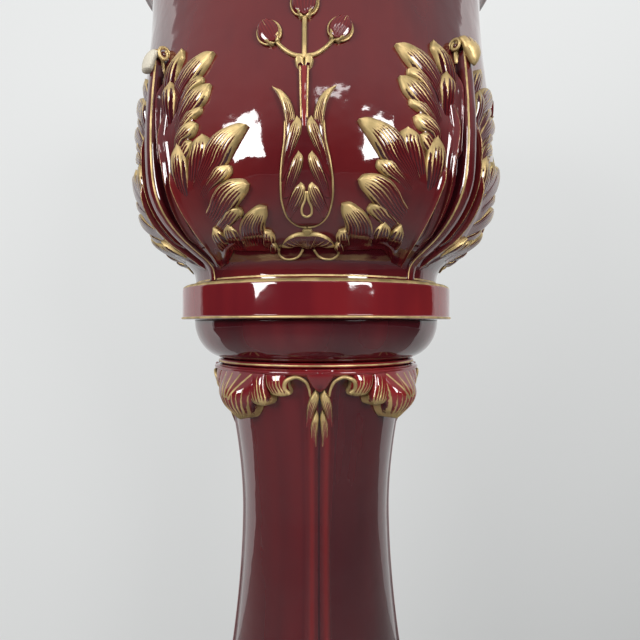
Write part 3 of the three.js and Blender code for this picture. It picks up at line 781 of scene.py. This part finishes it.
# %% The gilt lobes, from the foot of the leaf to its top
# Each entry: outer edge from root to tip, inner edge from root to tip, height, strokes and, where
# it isn't 0.10, the share of the height at the root.
leaf_lobes = [
    # the lowest group, which folds over at its foot
    ([(34.6, 681), (36.1, 683), (36.9, 686), (36.7, 689)],
     [(33.2, 682), (34.4, 688), (35.6, 691.3), (36.7, 689)], 4.5, 3),
    ([(34.2, 684), (36.0, 689), (37.0, 694), (36.4, 698.5)],
     [(31.2, 684), (33.0, 694), (34.8, 700), (36.4, 698.5)], 5.0, 4),
    ([(32.6, 684), (34.2, 694), (34.9, 703), (36.3, 710), (36.6, 717)],
     [(23.4, 685), (25.6, 699), (28.3, 708.5), (31.6, 715), (34.8, 718.5), (36.6, 717)], 7.0, 9),
    ([(23.6, 685), (25.2, 694), (25.4, 701), (23.4, 707)],
     [(18.0, 686), (18.9, 694), (20.8, 702.5), (23.4, 707)], 6.0, 5),
    ([(18.8, 686), (19.8, 693), (19.6, 700), (17.7, 705.5)],
     [(13.6, 679), (13.2, 688), (14.0, 694), (15.6, 700.5), (17.7, 705.5)], 6.0, 4),
    # the second group
    ([(16, 694), (23.6, 703.5), (27.2, 708.5), (29.3, 713), (28.9, 717.5)],
     [(15, 700), (22.0, 712), (26.4, 719), (28.9, 717.5)], 5.0, 5),
    ([(16, 699), (23.5, 710), (28.2, 719), (30.1, 723.5), (32.0, 729), (32.8, 734.5)],
     [(14, 712), (19.0, 722), (21.8, 730.5), (24.8, 736.8), (27.9, 739.6), (31.0, 739),
      (32.8, 734.5)], 7.0, 8),
    # the third group, with the longest lobe
    ([(16, 720), (23.5, 735.5), (26.3, 739), (28.3, 744), (28.3, 749.5)],
     [(15, 728), (21.5, 743), (25.5, 751.5), (28.3, 749.5)], 5.5, 6),
    ([(15, 724), (22.0, 740), (27.2, 751), (28.6, 757), (30.6, 766), (32.5, 774), (33.3, 779)],
     [(13.5, 732), (19.0, 757), (22.1, 770.5), (24.4, 776), (27.6, 780), (31.0, 781.8),
      (33.3, 779)], 7.5, 10),
    ([(16, 736), (21.2, 755), (22.9, 768), (22.2, 774), (20.6, 777.5)],
     [(12.6, 736), (14.6, 754), (16.2, 766), (18.2, 775.5), (20.6, 777.5)], 6.5, 6),
    ([(11.2, 716), (13.4, 738), (14.5, 760), (13.4, 770), (11.6, 775)],
     [(9.4, 716), (8.4, 740), (8.4, 760), (9.6, 770), (11.6, 775)], 7.5, 6, 0.0),
    # the fringe of the upper blade
    ([(9.6, 744), (12.6, 758), (15.0, 763), (16.4, 768), (16.7, 773.5)],
     [(8.4, 752), (11.2, 768), (15.0, 777), (16.7, 773.5)], 4.5, 4),
    ([(9.4, 754), (12.4, 770), (14.0, 776), (16.5, 777.5), (17.9, 781.5), (18.5, 787.5)],
     [(8.2, 758), (9.4, 775), (10.8, 783), (13.2, 789.6), (16.1, 791.4), (18.5, 787.5)], 5.5, 6),
    ([(9.6, 766), (13.8, 786), (17.0, 792), (19.4, 795.5), (19.9, 800)],
     [(8.6, 772), (12.6, 792), (17.6, 802.5), (19.9, 800)], 5.0, 5),
    ([(9.0, 776), (14.6, 791), (19.2, 800), (20.9, 804), (22.1, 811), (22.6, 817.5)],
     [(7.6, 784), (12.2, 806), (14.7, 813.5), (17.6, 818), (20.6, 819.5), (22.6, 817.5)], 6.0, 7),
    ([(9.2, 788), (13.6, 808), (17.4, 817), (19.7, 820), (20.1, 825)],
     [(8.4, 796), (13.0, 816), (18.2, 829), (20.1, 825)], 5.0, 5),
    ([(8.4, 796), (13.0, 815), (18.4, 825.5), (20.4, 831), (21.9, 837), (23.2, 844)],
     [(6.0, 802), (8.6, 823), (10.4, 832.5), (13.2, 840), (16.5, 845), (20.2, 847.5), (23.2, 844)],
     6.5, 8),
    # the two small lobes beside the hook
    ([(7.4, 786), (9.2, 806), (9.9, 824), (8.0, 832.5)],
     [(5.2, 786), (5.0, 808), (5.8, 827), (8.0, 832.5)], 8.0, 4, 0.0),
    ([(5.8, 808), (9.2, 832), (10.7, 843), (11.9, 850), (11.6, 856)],
     [(3.2, 808), (4.0, 836), (6.2, 846), (8.8, 852.5), (11.6, 856)], 7.0, 5, 0.1),
]
half_leaf = [lower_blade, upper_blade, top_blade]
for outer, inner, height, strokes, *root in leaf_lobes:
    half_leaf.append(lobe(on_pot, outer, inner, height, strokes, root=root[0] if root else 0.10))
print("half a leaf:", len(half_leaf), "surfaces")

# %% [markdown]
# The midrib is a rounded band between two gilt lines. At the top it leaves the wall and rolls
# outwards into a hook, with a small volute on either side, like the scroll of a violin.

# %% Midrib and hook
def midrib_lift(s, x):
    """Low at the stalk, then 10.5 mm: 2.5 + 8 ease(2.2 s), with a flat crown."""
    return (2.5 + 8.0 * ease(2.2 * s)) * np.clip(1 - np.abs(x) ** 9, 0, 1) ** 0.5 - 1.2 * x**2


def midrib_paint(s, x):
    """A gilt line along either edge, and pooled glaze outside it."""
    line = 0.92 * np.exp(-(((np.abs(x) - 0.77) / 0.085) ** 2)) * (s > 0.01)
    return 0.0, -1.0, line, np.abs(x) ** 8 - 0.2


midrib_left = [(-2.5, 661), (-2.5, 672), (-2.5, 684), (-2.4, 702), (-2.4, 730), (-2.2, 780),
               (-2.0, 856)]
midrib = ruled(on_pot, midrib_left, mirror(midrib_left), midrib_lift, midrib_paint,
               leaf_scale, (2.0, 0.6))

hook_rows = 44
chip_row = 36                        # where the chipped hook has broken off
hook_sides = 32
hook_profile = smooth([
    (189, 846), (190, 855), (192.5, 861.5), (196.5, 863.5), (199.5, 860.5), (201.2, 855.5),
    (202.4, 849.5), (203.2, 842),
], hook_rows)
hook_path = np.stack([0 * hook_profile[:, 0], -hook_profile[:, 0], hook_profile[:, 1]], -1)
hook_share = np.linspace(0, 1, hook_rows)
hook_width = np.interp(hook_share, [0, 0.3, 0.5, 0.7, 0.9, 1], [8, 11.5, 13.0, 11.5, 5.5, 1.2])
hook_thick = np.interp(hook_share, [0, 0.3, 0.5, 0.75, 0.92, 1], [3.0, 3.4, 4.8, 5.2, 3.4, 1.0])
hook_angle = np.linspace(0, 2 * np.pi, hook_sides, endpoint=False)[None, :]
sideways, upwards = np.array([[1.0, 0, 0]]), np.array([[0.0, 0, 1]])


def hook(chipped):
    """The leaf's tip, turned over. A chipped one has lost its point and up to 3 mm of its top,
    and shows the cream clay."""
    kept = slice(0, chip_row if chipped else hook_rows)
    lost = 3.0 * ease(hook_share[kept] / 0.35) * chipped
    path = hook_path[kept] - lost[:, None] * upwards
    thickness = hook_thick[kept] * (0.84 if chipped else 1.0)
    share = np.pad(hook_share[kept], 1, mode="edge")[:, None]
    gold = 0.66 + 0.6 * np.abs(np.cos(hook_angle)) ** 8 + 0.5 * ease((share - 0.45) / 0.3)
    bare = share + 0.06 * np.sin(3 * hook_angle) > 0.45
    return {
        **tube(path, thickness, sideways, hook_sides, (2.5 * np.cos(hook_angle), gold, 0.0),
               flat=(hook_width / hook_thick)[kept, None, None]),
        "hollow": np.where(bare & chipped, chip_mark, 0.1),
    }


# A volute is a coil about an eye, with a glazed pearl in the middle.
eye_radius, eye_level = 191.5, 859.5
turns = np.radians(np.linspace(200, -250, 36))
coil = np.linspace(5.8, 2.6, 36)
pearl = np.array([2.6, 2.6, 2.6, 2.3, 1.6, 0.6])
volutes = []
for side in (-1, 1):
    coil_path = np.stack([
        0 * turns + side * 11.6, -(eye_radius + coil * np.cos(turns)),
        eye_level + coil * np.sin(turns),
    ], -1)
    volutes.append(tube(coil_path, 1.5, sideways, sides=8))
    pearl_path = np.linspace([9.0 * side, -eye_radius, eye_level],
                             [12.2 * side, -eye_radius, eye_level], len(pearl))
    volutes.append(tube(pearl_path, pearl, upwards, 12, paint=(0.0, -1.0, 0.0)))
print("hook rolls out to", hook_profile[:, 0].max().round(1), "mm from the axis")


def mirrored(surfaces):
    """The same surfaces mirrored in x = 0, the plane of the midrib."""
    return [{**part, "points": part["points"] * [-1, 1, 1]} for part in surfaces]


acanthus = [*half_leaf, *mirrored(half_leaf), midrib, *volutes]
chipped_corner = "front_left"
# Pressed leaves differ a little in width, and none was stuck on at quite the same height.
narrowing = {"front_left": 0.955, "front_right": 0.97, "back_right": 0.98}
drop = {"front_left": 2.4, "back_right": 0.8}


def settled(part, corner):
    """The part with its angles from the midrib times the corner's narrowing, and lower by the
    corner's drop, which fades out at the stalk and at the hook."""
    x, y, z = np.moveaxis(part["points"], -1, 0)
    radius, angle = np.hypot(x, y), np.arctan2(x, -y) * narrowing.get(corner, 1.0)
    lower = z - drop.get(corner, 0.0) * ease((z - 690) / 40) * ease((864 - z) / 16)
    points = np.stack([radius * np.sin(angle), -radius * np.cos(angle), lower], -1)
    return {**part, "points": points}


for corner, place in corners.items():
    name = "acanthus_leaf_" + corner
    leaf = [settled(part, corner) for part in (*acanthus, hook(chipped=corner == chipped_corner))]
    add_piece(name + "_modelled", about_axis(leaf, place + pot_turn), pot_glaze,
              "jardiniere", name)
print("acanthus leaves:", len(corners))

# %% [markdown]
# ## The tulip sprigs
#
# On each face a tulip rises from a small fan. Its cup is a flat pillow with a gilt outline, two
# outer petals flare at the top, and three pairs of leaflets climb towards the stem, which forks
# into two arms and a middle stalk, each with a bud. Across is measured in millimetres here, because
# a sprig is drawn flat before it is bent round the pot.

# %% Tulip, stem, arms and buds
def on_face(across, height, lift):
    """Point by millimetres across the face: the angle is the arc over the wall's radius. A sprig
    laid on by hand is never quite straight: its cup stands aside by up to 2.3 mm."""
    aside = across + 0.8 + 1.5 * np.exp(-(((height - 732) / 32) ** 2))
    return on_pot(np.degrees(aside / np.interp(height, wall[:, 1], wall[:, 0])), height, lift)


def pillow(side, height, pooled):
    """A smooth form between a right edge and its mirror image, low at its root: height times
    (1 - |x|^6)^0.5. `pooled` is the hollow along its middle."""
    def lift(s, x):
        return height * np.clip(1 - np.abs(x) ** 6.0, 0, 1) ** 0.5 * (0.15 + 0.85 * ease(s * 6))

    def paint(s, x):
        return 0.0, -1.0, 0.0, pooled * (1 - x**2)

    return ruled(on_face, mirror(side), side, lift, paint, 1.0, (1.2, 0.7))


def both_sides(on, edge_a, edge_b, *values, **settings):
    """A lobe and its mirror image across the middle of the face."""
    return [lobe(on, edge_a, edge_b, *values, **settings),
            lobe(on, mirror(edge_a), mirror(edge_b), *values, **settings)]


def rod(points, radius, count=30, lift=1.0):
    """A gilt line in relief: a round bar laid on the wall along points (across, height)."""
    line = smooth(points, count)
    return tube(on_face(line[:, 0], line[:, 1], lift), radius)


def two_rods(points, *values):
    """A rod and its mirror image."""
    return [rod(points, *values), rod(mirror(points), *values)]


petal_grid = {"scale": 1.0, "step": (1.0, 0.6)}            # across is millimetres here
cup_side = [(0.4, 700), (8.4, 701.8), (15.6, 707), (19.8, 717), (20.6, 732), (18.8, 748),
            (16.2, 762), (15.0, 778)]
tulip = [pillow(cup_side, 3.4, pooled=0.35), *two_rods(cup_side, 0.85, 60, 0.9)]
tulip += both_sides(
    on_face,
    [(15.0, 752), (14.7, 768), (15.6, 782), (18.2, 793), (21.8, 800.5), (25.2, 805.5)],
    [(6.0, 760), (6.8, 776), (8.4, 787), (11.8, 795.5), (17.4, 801.8), (25.2, 805.5)],
    5.0, 6, gold=(0.0, 0.72), tip=0.5, margin=0.9, **petal_grid)
# Each leaflet: outer edge and inner edge, from its root at the cup's side to its tip at the stem.
leaflets = [
    ([(19.2, 733), (17.4, 749), (14.6, 763), (10.6, 774), (5.6, 781)],
     [(14.6, 741), (9.4, 753), (4.8, 761.5), (1.6, 770), (1.9, 777.5), (5.6, 781)]),
    ([(19.2, 721), (16.6, 733), (13.0, 742), (8.8, 750.5), (5.2, 754.5)],
     [(14.0, 722), (9.8, 728), (5.2, 736), (1.7, 745), (1.9, 751.5), (5.2, 754.5)]),
    ([(17.6, 714), (14.2, 722), (9.8, 728.5), (4.4, 732.4)],
     [(13.0, 706), (7.6, 712), (3.2, 718.5), (0.7, 725), (1.2, 730), (4.4, 732.4)]),
]
for outer, inner in leaflets:
    tulip += both_sides(on_face, outer, inner, 5.8, 6, gold=(0.16, 0.86), root=0.62, margin=0.5,
                        **petal_grid)
teardrop = [(0.6, 726), (1.4, 720), (4.0, 714), (3.6, 710.4), (0, 708.6)]
tulip.append(rod(teardrop + mirror(teardrop)[-2::-1], 0.9, 40, 3.6))
tulip.append(pillow([(2.0, 765), (2.5, 790), (3.0, 820)], 3.6, pooled=-0.9))
tulip += two_rods([(2.2, 779), (2.6, 800), (3.1, 820)], 0.85, 30, 2.4)
tulip += both_sides(on_face, [(2.8, 817), (6.2, 821), (7.2, 826), (4.6, 829.5)],
                    [(0.6, 819), (0.3, 823), (0.5, 827), (4.6, 829.5)],
                    4.6, 1, gold=(0.0, 0.4), flute=0.0, **petal_grid)
tulip += two_rods([(0, 829), (7.8, 830.2), (16.4, 836), (23.2, 843.4)], 1.6)
tulip.append(rod([(0, 827), (0, 843), (0, 862)], 1.9))


def bud(across, height, lean, size):
    """A round bud with a gilt rim and fine strokes at its top, leaning by some degrees. It is drawn
    upright about (0, 0), as an ellipse with two sepals below, and then leaned and moved."""
    c, s = np.cos(np.radians(lean)), np.sin(np.radians(lean))

    def placed(points, flip=1):
        return (points * np.array([flip, 1])) @ np.array([[c, s], [-s, c]]) + [across, height]

    angle = np.radians(np.array([-90, -48, -8, 30, 62, 90]))
    side = np.stack([np.cos(angle) * 0.97, np.sin(angle) * 1.03], -1) * size
    outer = np.array([(3.6, -1.5), (5.4, 1.6), (7.0, 4.4)]) - [0, size]
    inner = np.array([(0.3, -0.5), (3.2, 3.0), (7.0, 4.4)]) - [0, size]
    return [
        lobe(on_face, placed(side, -1), placed(side), 7.0, 8, gold=(0.46, 1.25), root=0.7,
             tip=0.75, flute=0.2, scale=1.0, step=(0.8, 0.6), margin=0.4, shade=-0.75),
        rod(placed(np.concatenate([side, (side * [-1, 1])[-2::-1]])), 0.85, 48, 1.6),
        *[lobe(on_face, placed(outer, flip), placed(inner, flip), 6.0, 1, gold=(-1, 0),
               flute=0.0, root=0.6, scale=1.0, step=(0.7, 0.6)) for flip in (-1, 1)],
    ]


tulip += [*bud(-28.2, 850.0, 28, 9.8), *bud(28.2, 851.5, -28, 9.9), *bud(0, 873, 0, 11.2)]
set_round("tulip_sprig", faces, tulip, pot_glaze, "jardiniere", pot_turn)

# %% [markdown]
# Under each tulip lies a small gilt fan between two fine curls. Its ribs radiate from the middle of
# its lower edge, so the strokes are counted round that point and not across.

# %% Fan, button and curls
fan_half = 23.4


def fan():
    """Ruled from its left tip to its right tip; strokes are the angle about the lower middle."""
    upper = [(0, 696.8), (11, 695.8), (19.5, 691.6), (fan_half, 686.6)]
    lower = [(0, 685.2), (7.4, 687.0), (16.4, 686.0), (fan_half, 686.6)]
    upper, lower = [mirror(edge)[:0:-1] + edge for edge in (upper, lower)]

    def round_middle(s, x):
        across = (s - 0.5) * 2 * fan_half
        rise = 2 + 9 * (1 - (2 * s - 1) ** 2) * (1 - x) / 2
        return np.degrees(np.arctan2(across, rise)) / 9

    def lift(s, x):
        crown = np.clip(1 - np.abs(x) ** 3, 0, 1) ** 0.5 * np.clip(np.sin(np.pi * s), 0, 1) ** 0.35
        return crown * (4.0 - 0.5 * (0.5 - 0.5 * np.cos(2 * np.pi * round_middle(s, x))))

    def paint(s, x):
        sides = 1.6 * np.abs(2 * s - 1) ** 2
        return round_middle(s, x), 0.35 + 0.35 * x + 0.4 * sides, (x < -0.72) * 1.0, 0.5

    return ruled(on_face, upper, lower, lift, paint, 1.0, (0.8, 0.5))


curl = [(25.8, 685.5), (26.2, 681.5), (22.5, 678), (16, 677), (9, 679.2), (4.6, 684.6)]
button_side = [(0, 699.4), (3.4, 698.8), (4.4, 697.6), (3.4, 696.4), (0, 695.8)]
palmette = [
    fan(),
    *two_rods(curl, 1.0, 30, 0.6),
    lobe(on_face, button_side, mirror(button_side), 3.0, 1, gold=(-1, 0), root=0.8,
         flute=0.0, scale=1.0, step=(0.5, 0.5)),
]
set_round("palmette", faces, palmette, pot_glaze, "jardiniere", pot_turn)

# %% [markdown]
# ## The capital
#
# Four drooping leaves hang from the gilt ring, one at each corner of the stand, and swell like a
# cushion before they turn in under themselves. Each half has three lobes, the last of which runs
# into a gilt C-scroll beside the face. Here a lobe is much fuller than on the pot, so its lift is
# read from a small table of its own.

# %% Capital leaves
capital_scale = 1.95                 # millimetres to a degree, at the neck


def hanging(edge_a, edge_b, lifts, strokes, gold, flute, puff, lines=()):
    """A lobe that hangs from the ring: the lift along it follows a smooth curve through `lifts`,
    and across it puffs out by (1 - x^2) and then drops steeply at the edges. `lines` holds the
    painted lines, alike on both sides: |x| and s at the start, |x| and s at the end, half width."""
    curve = smooth([(20 * i, value) for i, value in enumerate(lifts)], 100)
    places = curve[:, 0] / curve[-1, 0]

    def lift(s, x):
        along = np.interp(s, places, curve[:, 1]) + puff * (1 - x**2) * ease(s * 2)
        side = np.clip(1 - np.abs(x) ** 8, 0, 1) ** 0.5
        return (along - flute * wave(strokes, x) * ease((s - 0.35) * 4)) * side

    def paint(s, x):
        line = 0.0 * s * x
        for x0, s0, x1, s1, half in lines:
            t = np.clip((s - s0) / (s1 - s0), 0, 1)
            near = np.exp(-(((np.abs(x) - x0 - (x1 - x0) * t**0.8) / half) ** 2))
            line = np.maximum(line, near * ((s > s0) & (s < s1)))
        hollow = 0.7 * wave(strokes, x) * ease((s - 0.4) * 3) - 0.2 + 0.5 * np.abs(x) ** 6
        return strokes * (x + 1) / 2, (s - gold[0]) / (gold[1] - gold[0]), line, hollow

    return ruled(on_shaft, edge_a, edge_b, lift, paint, capital_scale, (1.0, 0.7))


under_ring = shaft_top - 0.3         # where the leaves spring, just under the ring
corner_half = [(13.5, under_ring), (13.8, 566), (12.6, 552), (10.4, 541), (7.0, 531), (3.4, 526),
               (0, 524.6)]
corner_lobe = hanging(
    mirror(corner_half), corner_half, [8, 14, 19, 21.5, 20, 14, 8],
    strokes=11, gold=(0.08, 0.86), flute=0.9, puff=10.0,
    lines=[(0.75, 0.10, 0.10, 0.55, 0.05), (0.25, 0.10, 0.04, 0.52, 0.045)],
)
side_lobes = [
    ([(8.6, under_ring), (8.2, 560), (8.2, 549), (10.4, 542), (14.4, 539.8)],
     [(17.6, under_ring), (18.0, 563), (19.2, 554), (19.8, 547.5), (18.2, 542.2), (14.4, 539.8)],
     [7, 12.5, 15.5, 17.5, 18, 12], 7, (0.04, 0.84)),
    ([(16.2, under_ring), (16.6, 566), (17.8, 557.5), (20.2, 552), (25.0, 550.2)],
     [(29.6, under_ring), (28.8, 568), (29.0, 560), (30.0, 555), (28.8, 551.4), (25.0, 550.2)],
     [7, 10.5, 12.5, 13.5, 13, 9], 7, (0.0, 0.80)),
]
half_capital = [hanging(*side_lobe, flute=0.7, puff=1.5) for side_lobe in side_lobes]


def shoulder():
    """The band under the ring that joins the leaf's lobes, rounded over at its lower edge. Each
    reaches a little past 45 degrees, so that four bands close the ring."""
    def lift(s, x):
        swell = 6.0 + 5.5 * np.sin(np.pi * np.clip(s, 0, 1) ** 0.8)
        return swell * np.clip(1 - np.abs(x) ** 120, 0, 1) ** 0.5

    def paint(s, x):
        return 0.0, -1.0, 0.0, 0.15

    left = [(-45.1, height) for height in (under_ring, 573, 569.5, 568)]
    return ruled(on_shaft, left, mirror(left), lift, paint, capital_scale, (0.5, 1.5))


# The C-scroll, as points of (degrees, height, lift).
scroll_rows = 60
scroll = smooth([
    (29.6, 553.4, 11.0), (27.9, 556.5, 12.6), (27.6, 561.5, 13.4), (29.6, 567.2, 13.4),
    (33.4, 569.6, 12.2), (37.2, 566.0, 10.0), (39.3, 558.5, 7.6), (39.9, 550.5, 6.0),
], scroll_rows)
scroll_radius = np.interp(np.linspace(0, 1, scroll_rows), [0, 0.3, 1], [2.2, 2.0, 1.0])
half_capital.append(tube(on_shaft(scroll[:, 0], scroll[:, 1], scroll[:, 2] - 1.0), scroll_radius))
capital = [corner_lobe, shoulder(), *half_capital, *mirrored(half_capital)]
set_round("capital_leaf", corners, capital, stand_glaze, "pedestal")

# %% [markdown]
# Between two capital leaves a short tongue of glaze comes down from the ring. Under it hang four
# gilt husks, one pair over another, whose strokes run out as thin lines down the reeds.

# %% Husks
# A husk is drawn from the lower end of its strokes up to its tip.
husk_grid = {"root": 0.15, "tip": 0.7, "scale": 1.75, "step": (0.9, 0.5), "flute": 0.4}
upper_husk = ([(8.2, 519), (7.8, 531), (6.6, 543), (4.8, 551), (2.2, 556.5)],
              [(4.6, 519), (3.2, 532), (1.0, 543), (0.5, 552), (2.2, 556.5)], 7.5, 6)
lower_husk = ([(4.8, 497), (5.4, 510), (5.0, 522), (3.6, 530), (1.6, 536.5)],
              [(1.8, 492), (1.6, 510), (0.7, 522), (0.4, 531), (1.6, 536.5)], 6.0, 5)
tongue_edge = [(9.0, under_ring), (7.4, 570), (5.6, 564), (3.4, 558), (0, 554)]
no_gold = (9, 10)
pendant = [
    hanging(mirror(tongue_edge), tongue_edge, [9.5, 11.5, 10, 7.5, 4.5], strokes=1, gold=no_gold,
            flute=0.0, puff=0.6),
    *both_sides(on_shaft, *upper_husk, gold=(-0.12, 0.74), **husk_grid),
    *both_sides(on_shaft, *lower_husk, gold=(-0.06, 0.78), **husk_grid),
]
set_round("pendant", faces, pendant, stand_glaze, "pedestal")

# %% [markdown]
# ## Studio
#
# The photograph was taken against a white wall in a dim room with two windows. Majolica is a mirror
# as much as a colour, so the setting is rebuilt: a pale wall close behind gives the bright rims at
# either side, the dim room in front keeps the red deep, and two soft panels give the window
# reflections. Seen from behind, the wall is left open so that other views stay clear.

# %% Floor, wall, lamps and world
def seen_directly(nodes):
    """1 for a ray from the camera, off a gloss or through glass, and 0 for the light that falls
    on things."""
    path = nodes.add("ShaderNodeLightPath").outputs
    first = nodes.math("MAXIMUM", path["Is Camera Ray"], path["Is Glossy Ray"])
    return nodes.math("MAXIMUM", first, path["Is Transmission Ray"])


def paint_coat(name, colour):
    """A matt paint with a faint mottle."""
    nodes = Nodes(bpy.data.materials.new(name))
    nodes.shader.inputs["Roughness"].default_value = 0.9
    nodes.shader.inputs["Specular IOR Level"].default_value = 0.1
    grain = nodes.mix(nodes.noise(3, 2), (*[c * 0.97 for c in colour], 1), (*colour, 1))
    nodes.feed(nodes.shader.inputs["Base Color"], grain)
    return nodes


def wall_painted_light():
    """A glowing wall that reads as evenly lit, with its light painted on: brightness 0.83 at 1.2 m
    over the floor, less by 0.19 for each metre below and a little more to the right, as painted
    falloff of light. Off a gloss it is brighter by the share 0.15 + 0.55 x^2, painted light because
    the windows light its far ends most. It is clear from behind."""
    nodes = paint_coat("wall_painted_light", (0.80, 0.81, 0.81))
    place = nodes.add("ShaderNodeTexCoord").outputs["Object"]
    x, _, z = nodes.add("ShaderNodeSeparateXYZ", {0: place}).outputs
    fall = nodes.math("MULTIPLY_ADD", x, 0.11, 0.187)
    bright = nodes.math("MULTIPLY_ADD", nodes.math("SUBTRACT", z, 1.2), fall, 0.83)
    bright = nodes.math("MINIMUM", nodes.math("MAXIMUM", bright, 0.5), 0.85)
    off_gloss = nodes.add("ShaderNodeLightPath").outputs["Is Glossy Ray"]
    aside = nodes.math("MULTIPLY_ADD", nodes.math("MULTIPLY", x, x), 0.55, 0.15)
    bright = nodes.math("MULTIPLY", bright, nodes.math("MULTIPLY_ADD", off_gloss, aside, 1.0))
    glow = nodes.glow((0.985, 1.0, 0.995, 1), bright)
    shown = nodes.math("MULTIPLY", seen_directly(nodes), 0.85)
    front = nodes.blend(shown, nodes.shader.outputs[0], glow)
    behind = nodes.add("ShaderNodeNewGeometry").outputs["Backfacing"]
    return nodes.finish(nodes.blend(behind, front, nodes.clear()))


def room_paint():
    """The dim side of the room and its pale ceiling, which the camera itself doesn't see."""
    nodes = Nodes(bpy.data.materials.new("room_paint"))
    place = nodes.add("ShaderNodeTexCoord").outputs["Object"]
    height = nodes.add("ShaderNodeSeparateXYZ", {0: place}).outputs[2]
    level = nodes.math("MULTIPLY_ADD", nodes.ramp(height, 1.1, 2.4), 0.56, 0.035)
    camera_ray = nodes.add("ShaderNodeLightPath").outputs["Is Camera Ray"]
    dim = nodes.glow((1.0, 1.0, 1.02, 1), level)
    return nodes.finish(nodes.blend(camera_ray, dim, nodes.clear()))


def stage_piece(name, points, quads, material):
    """A piece of the stage, in metres."""
    mesh = bpy.data.meshes.new(name)
    mesh.from_pydata(points, [], quads)
    mesh.materials.append(material)
    piece = bpy.data.objects.new(name, mesh)
    bpy.context.scene.collection.objects.link(piece)


floor_radius = 3.1
round_floor = np.radians(np.arange(0, 360, 5))
floor = floor_radius * np.stack([np.cos(round_floor), np.sin(round_floor), 0 * round_floor], -1)
stage_piece("floor", floor, [tuple(range(len(floor)))],
            paint_coat("floor_paint", (0.60, 0.60, 0.59)).owner)
wall_distance = 0.40
wall_half = 1.45
wall_top = 2.2
stage_piece("wall", [(-wall_half, wall_distance, 0), (wall_half, wall_distance, 0),
                     (wall_half, wall_distance, wall_top), (-wall_half, wall_distance, wall_top)],
            [(0, 1, 2, 3)], wall_painted_light())



def towards(azimuth, elevation):
    """Direction by radians round from the front and over level:
    (sin a cos e, -cos a cos e, sin e)."""
    level = np.cos(elevation)
    return np.stack([np.sin(azimuth) * level, -np.cos(azimuth) * level, np.sin(elevation)], -1)


# The room is somewhat more than a quarter of a sphere.
room_radius = 3.2
rows, columns = 12, 29
around, up = np.meshgrid(np.radians(np.linspace(-105, 105, columns)),
                         np.radians(np.linspace(0, 89, rows)))
row, column = np.meshgrid(np.arange(rows - 1), np.arange(columns - 1), indexing="ij")
first = row * columns + column
room_quads = np.stack([first, first + columns, first + columns + 1, first + 1], -1)
stage_piece("dim_room", room_radius * towards(around, up).reshape(-1, 3),
            room_quads.reshape(-1, 4), room_paint())
window_distance = 2.0
window_aim = (0, 0, 0.80)            # the middle of the pot


def window(name, azimuth, elevation, width, height, power, tilt=0.0):
    """A soft panel that faces the pot, by degrees round from the front and over level, tilted on
    its face by some degrees."""
    lamp = bpy.data.lights.new(name, "AREA")
    lamp.shape = "RECTANGLE"
    lamp.size, lamp.size_y = width, height
    lamp.energy = power
    lamp.spread = np.radians(80)
    panel = bpy.data.objects.new(name, lamp)
    bpy.context.scene.collection.objects.link(panel)
    a, e = np.radians(azimuth), np.radians(elevation)
    panel.location = towards(a, e) * window_distance + window_aim
    facing = Euler((np.radians(90 - elevation), 0, a)).to_matrix()
    panel.rotation_euler = (facing @ Matrix.Rotation(np.radians(tilt), 3, "Z")).to_euler()


window("left_window", -42, 9.9, 0.66, 0.68, 6.4, tilt=12)
window("right_window", 32, 9.3, 0.62, 0.66, 6.0)
window("far_window", 6, 26.0, 0.66, 0.06, 0.22)

world = bpy.data.worlds.new("surroundings")
bpy.context.scene.world = world
sky = Nodes(world)
sky_light = (0.13, 0.13, 0.135, 1)
sky_seen = (0.78, 0.79, 0.80, 1)
sky.feed(sky.tree.nodes["Background"].inputs["Color"],
         sky.mix(seen_directly(sky), sky_light, sky_seen))

# %% [markdown]
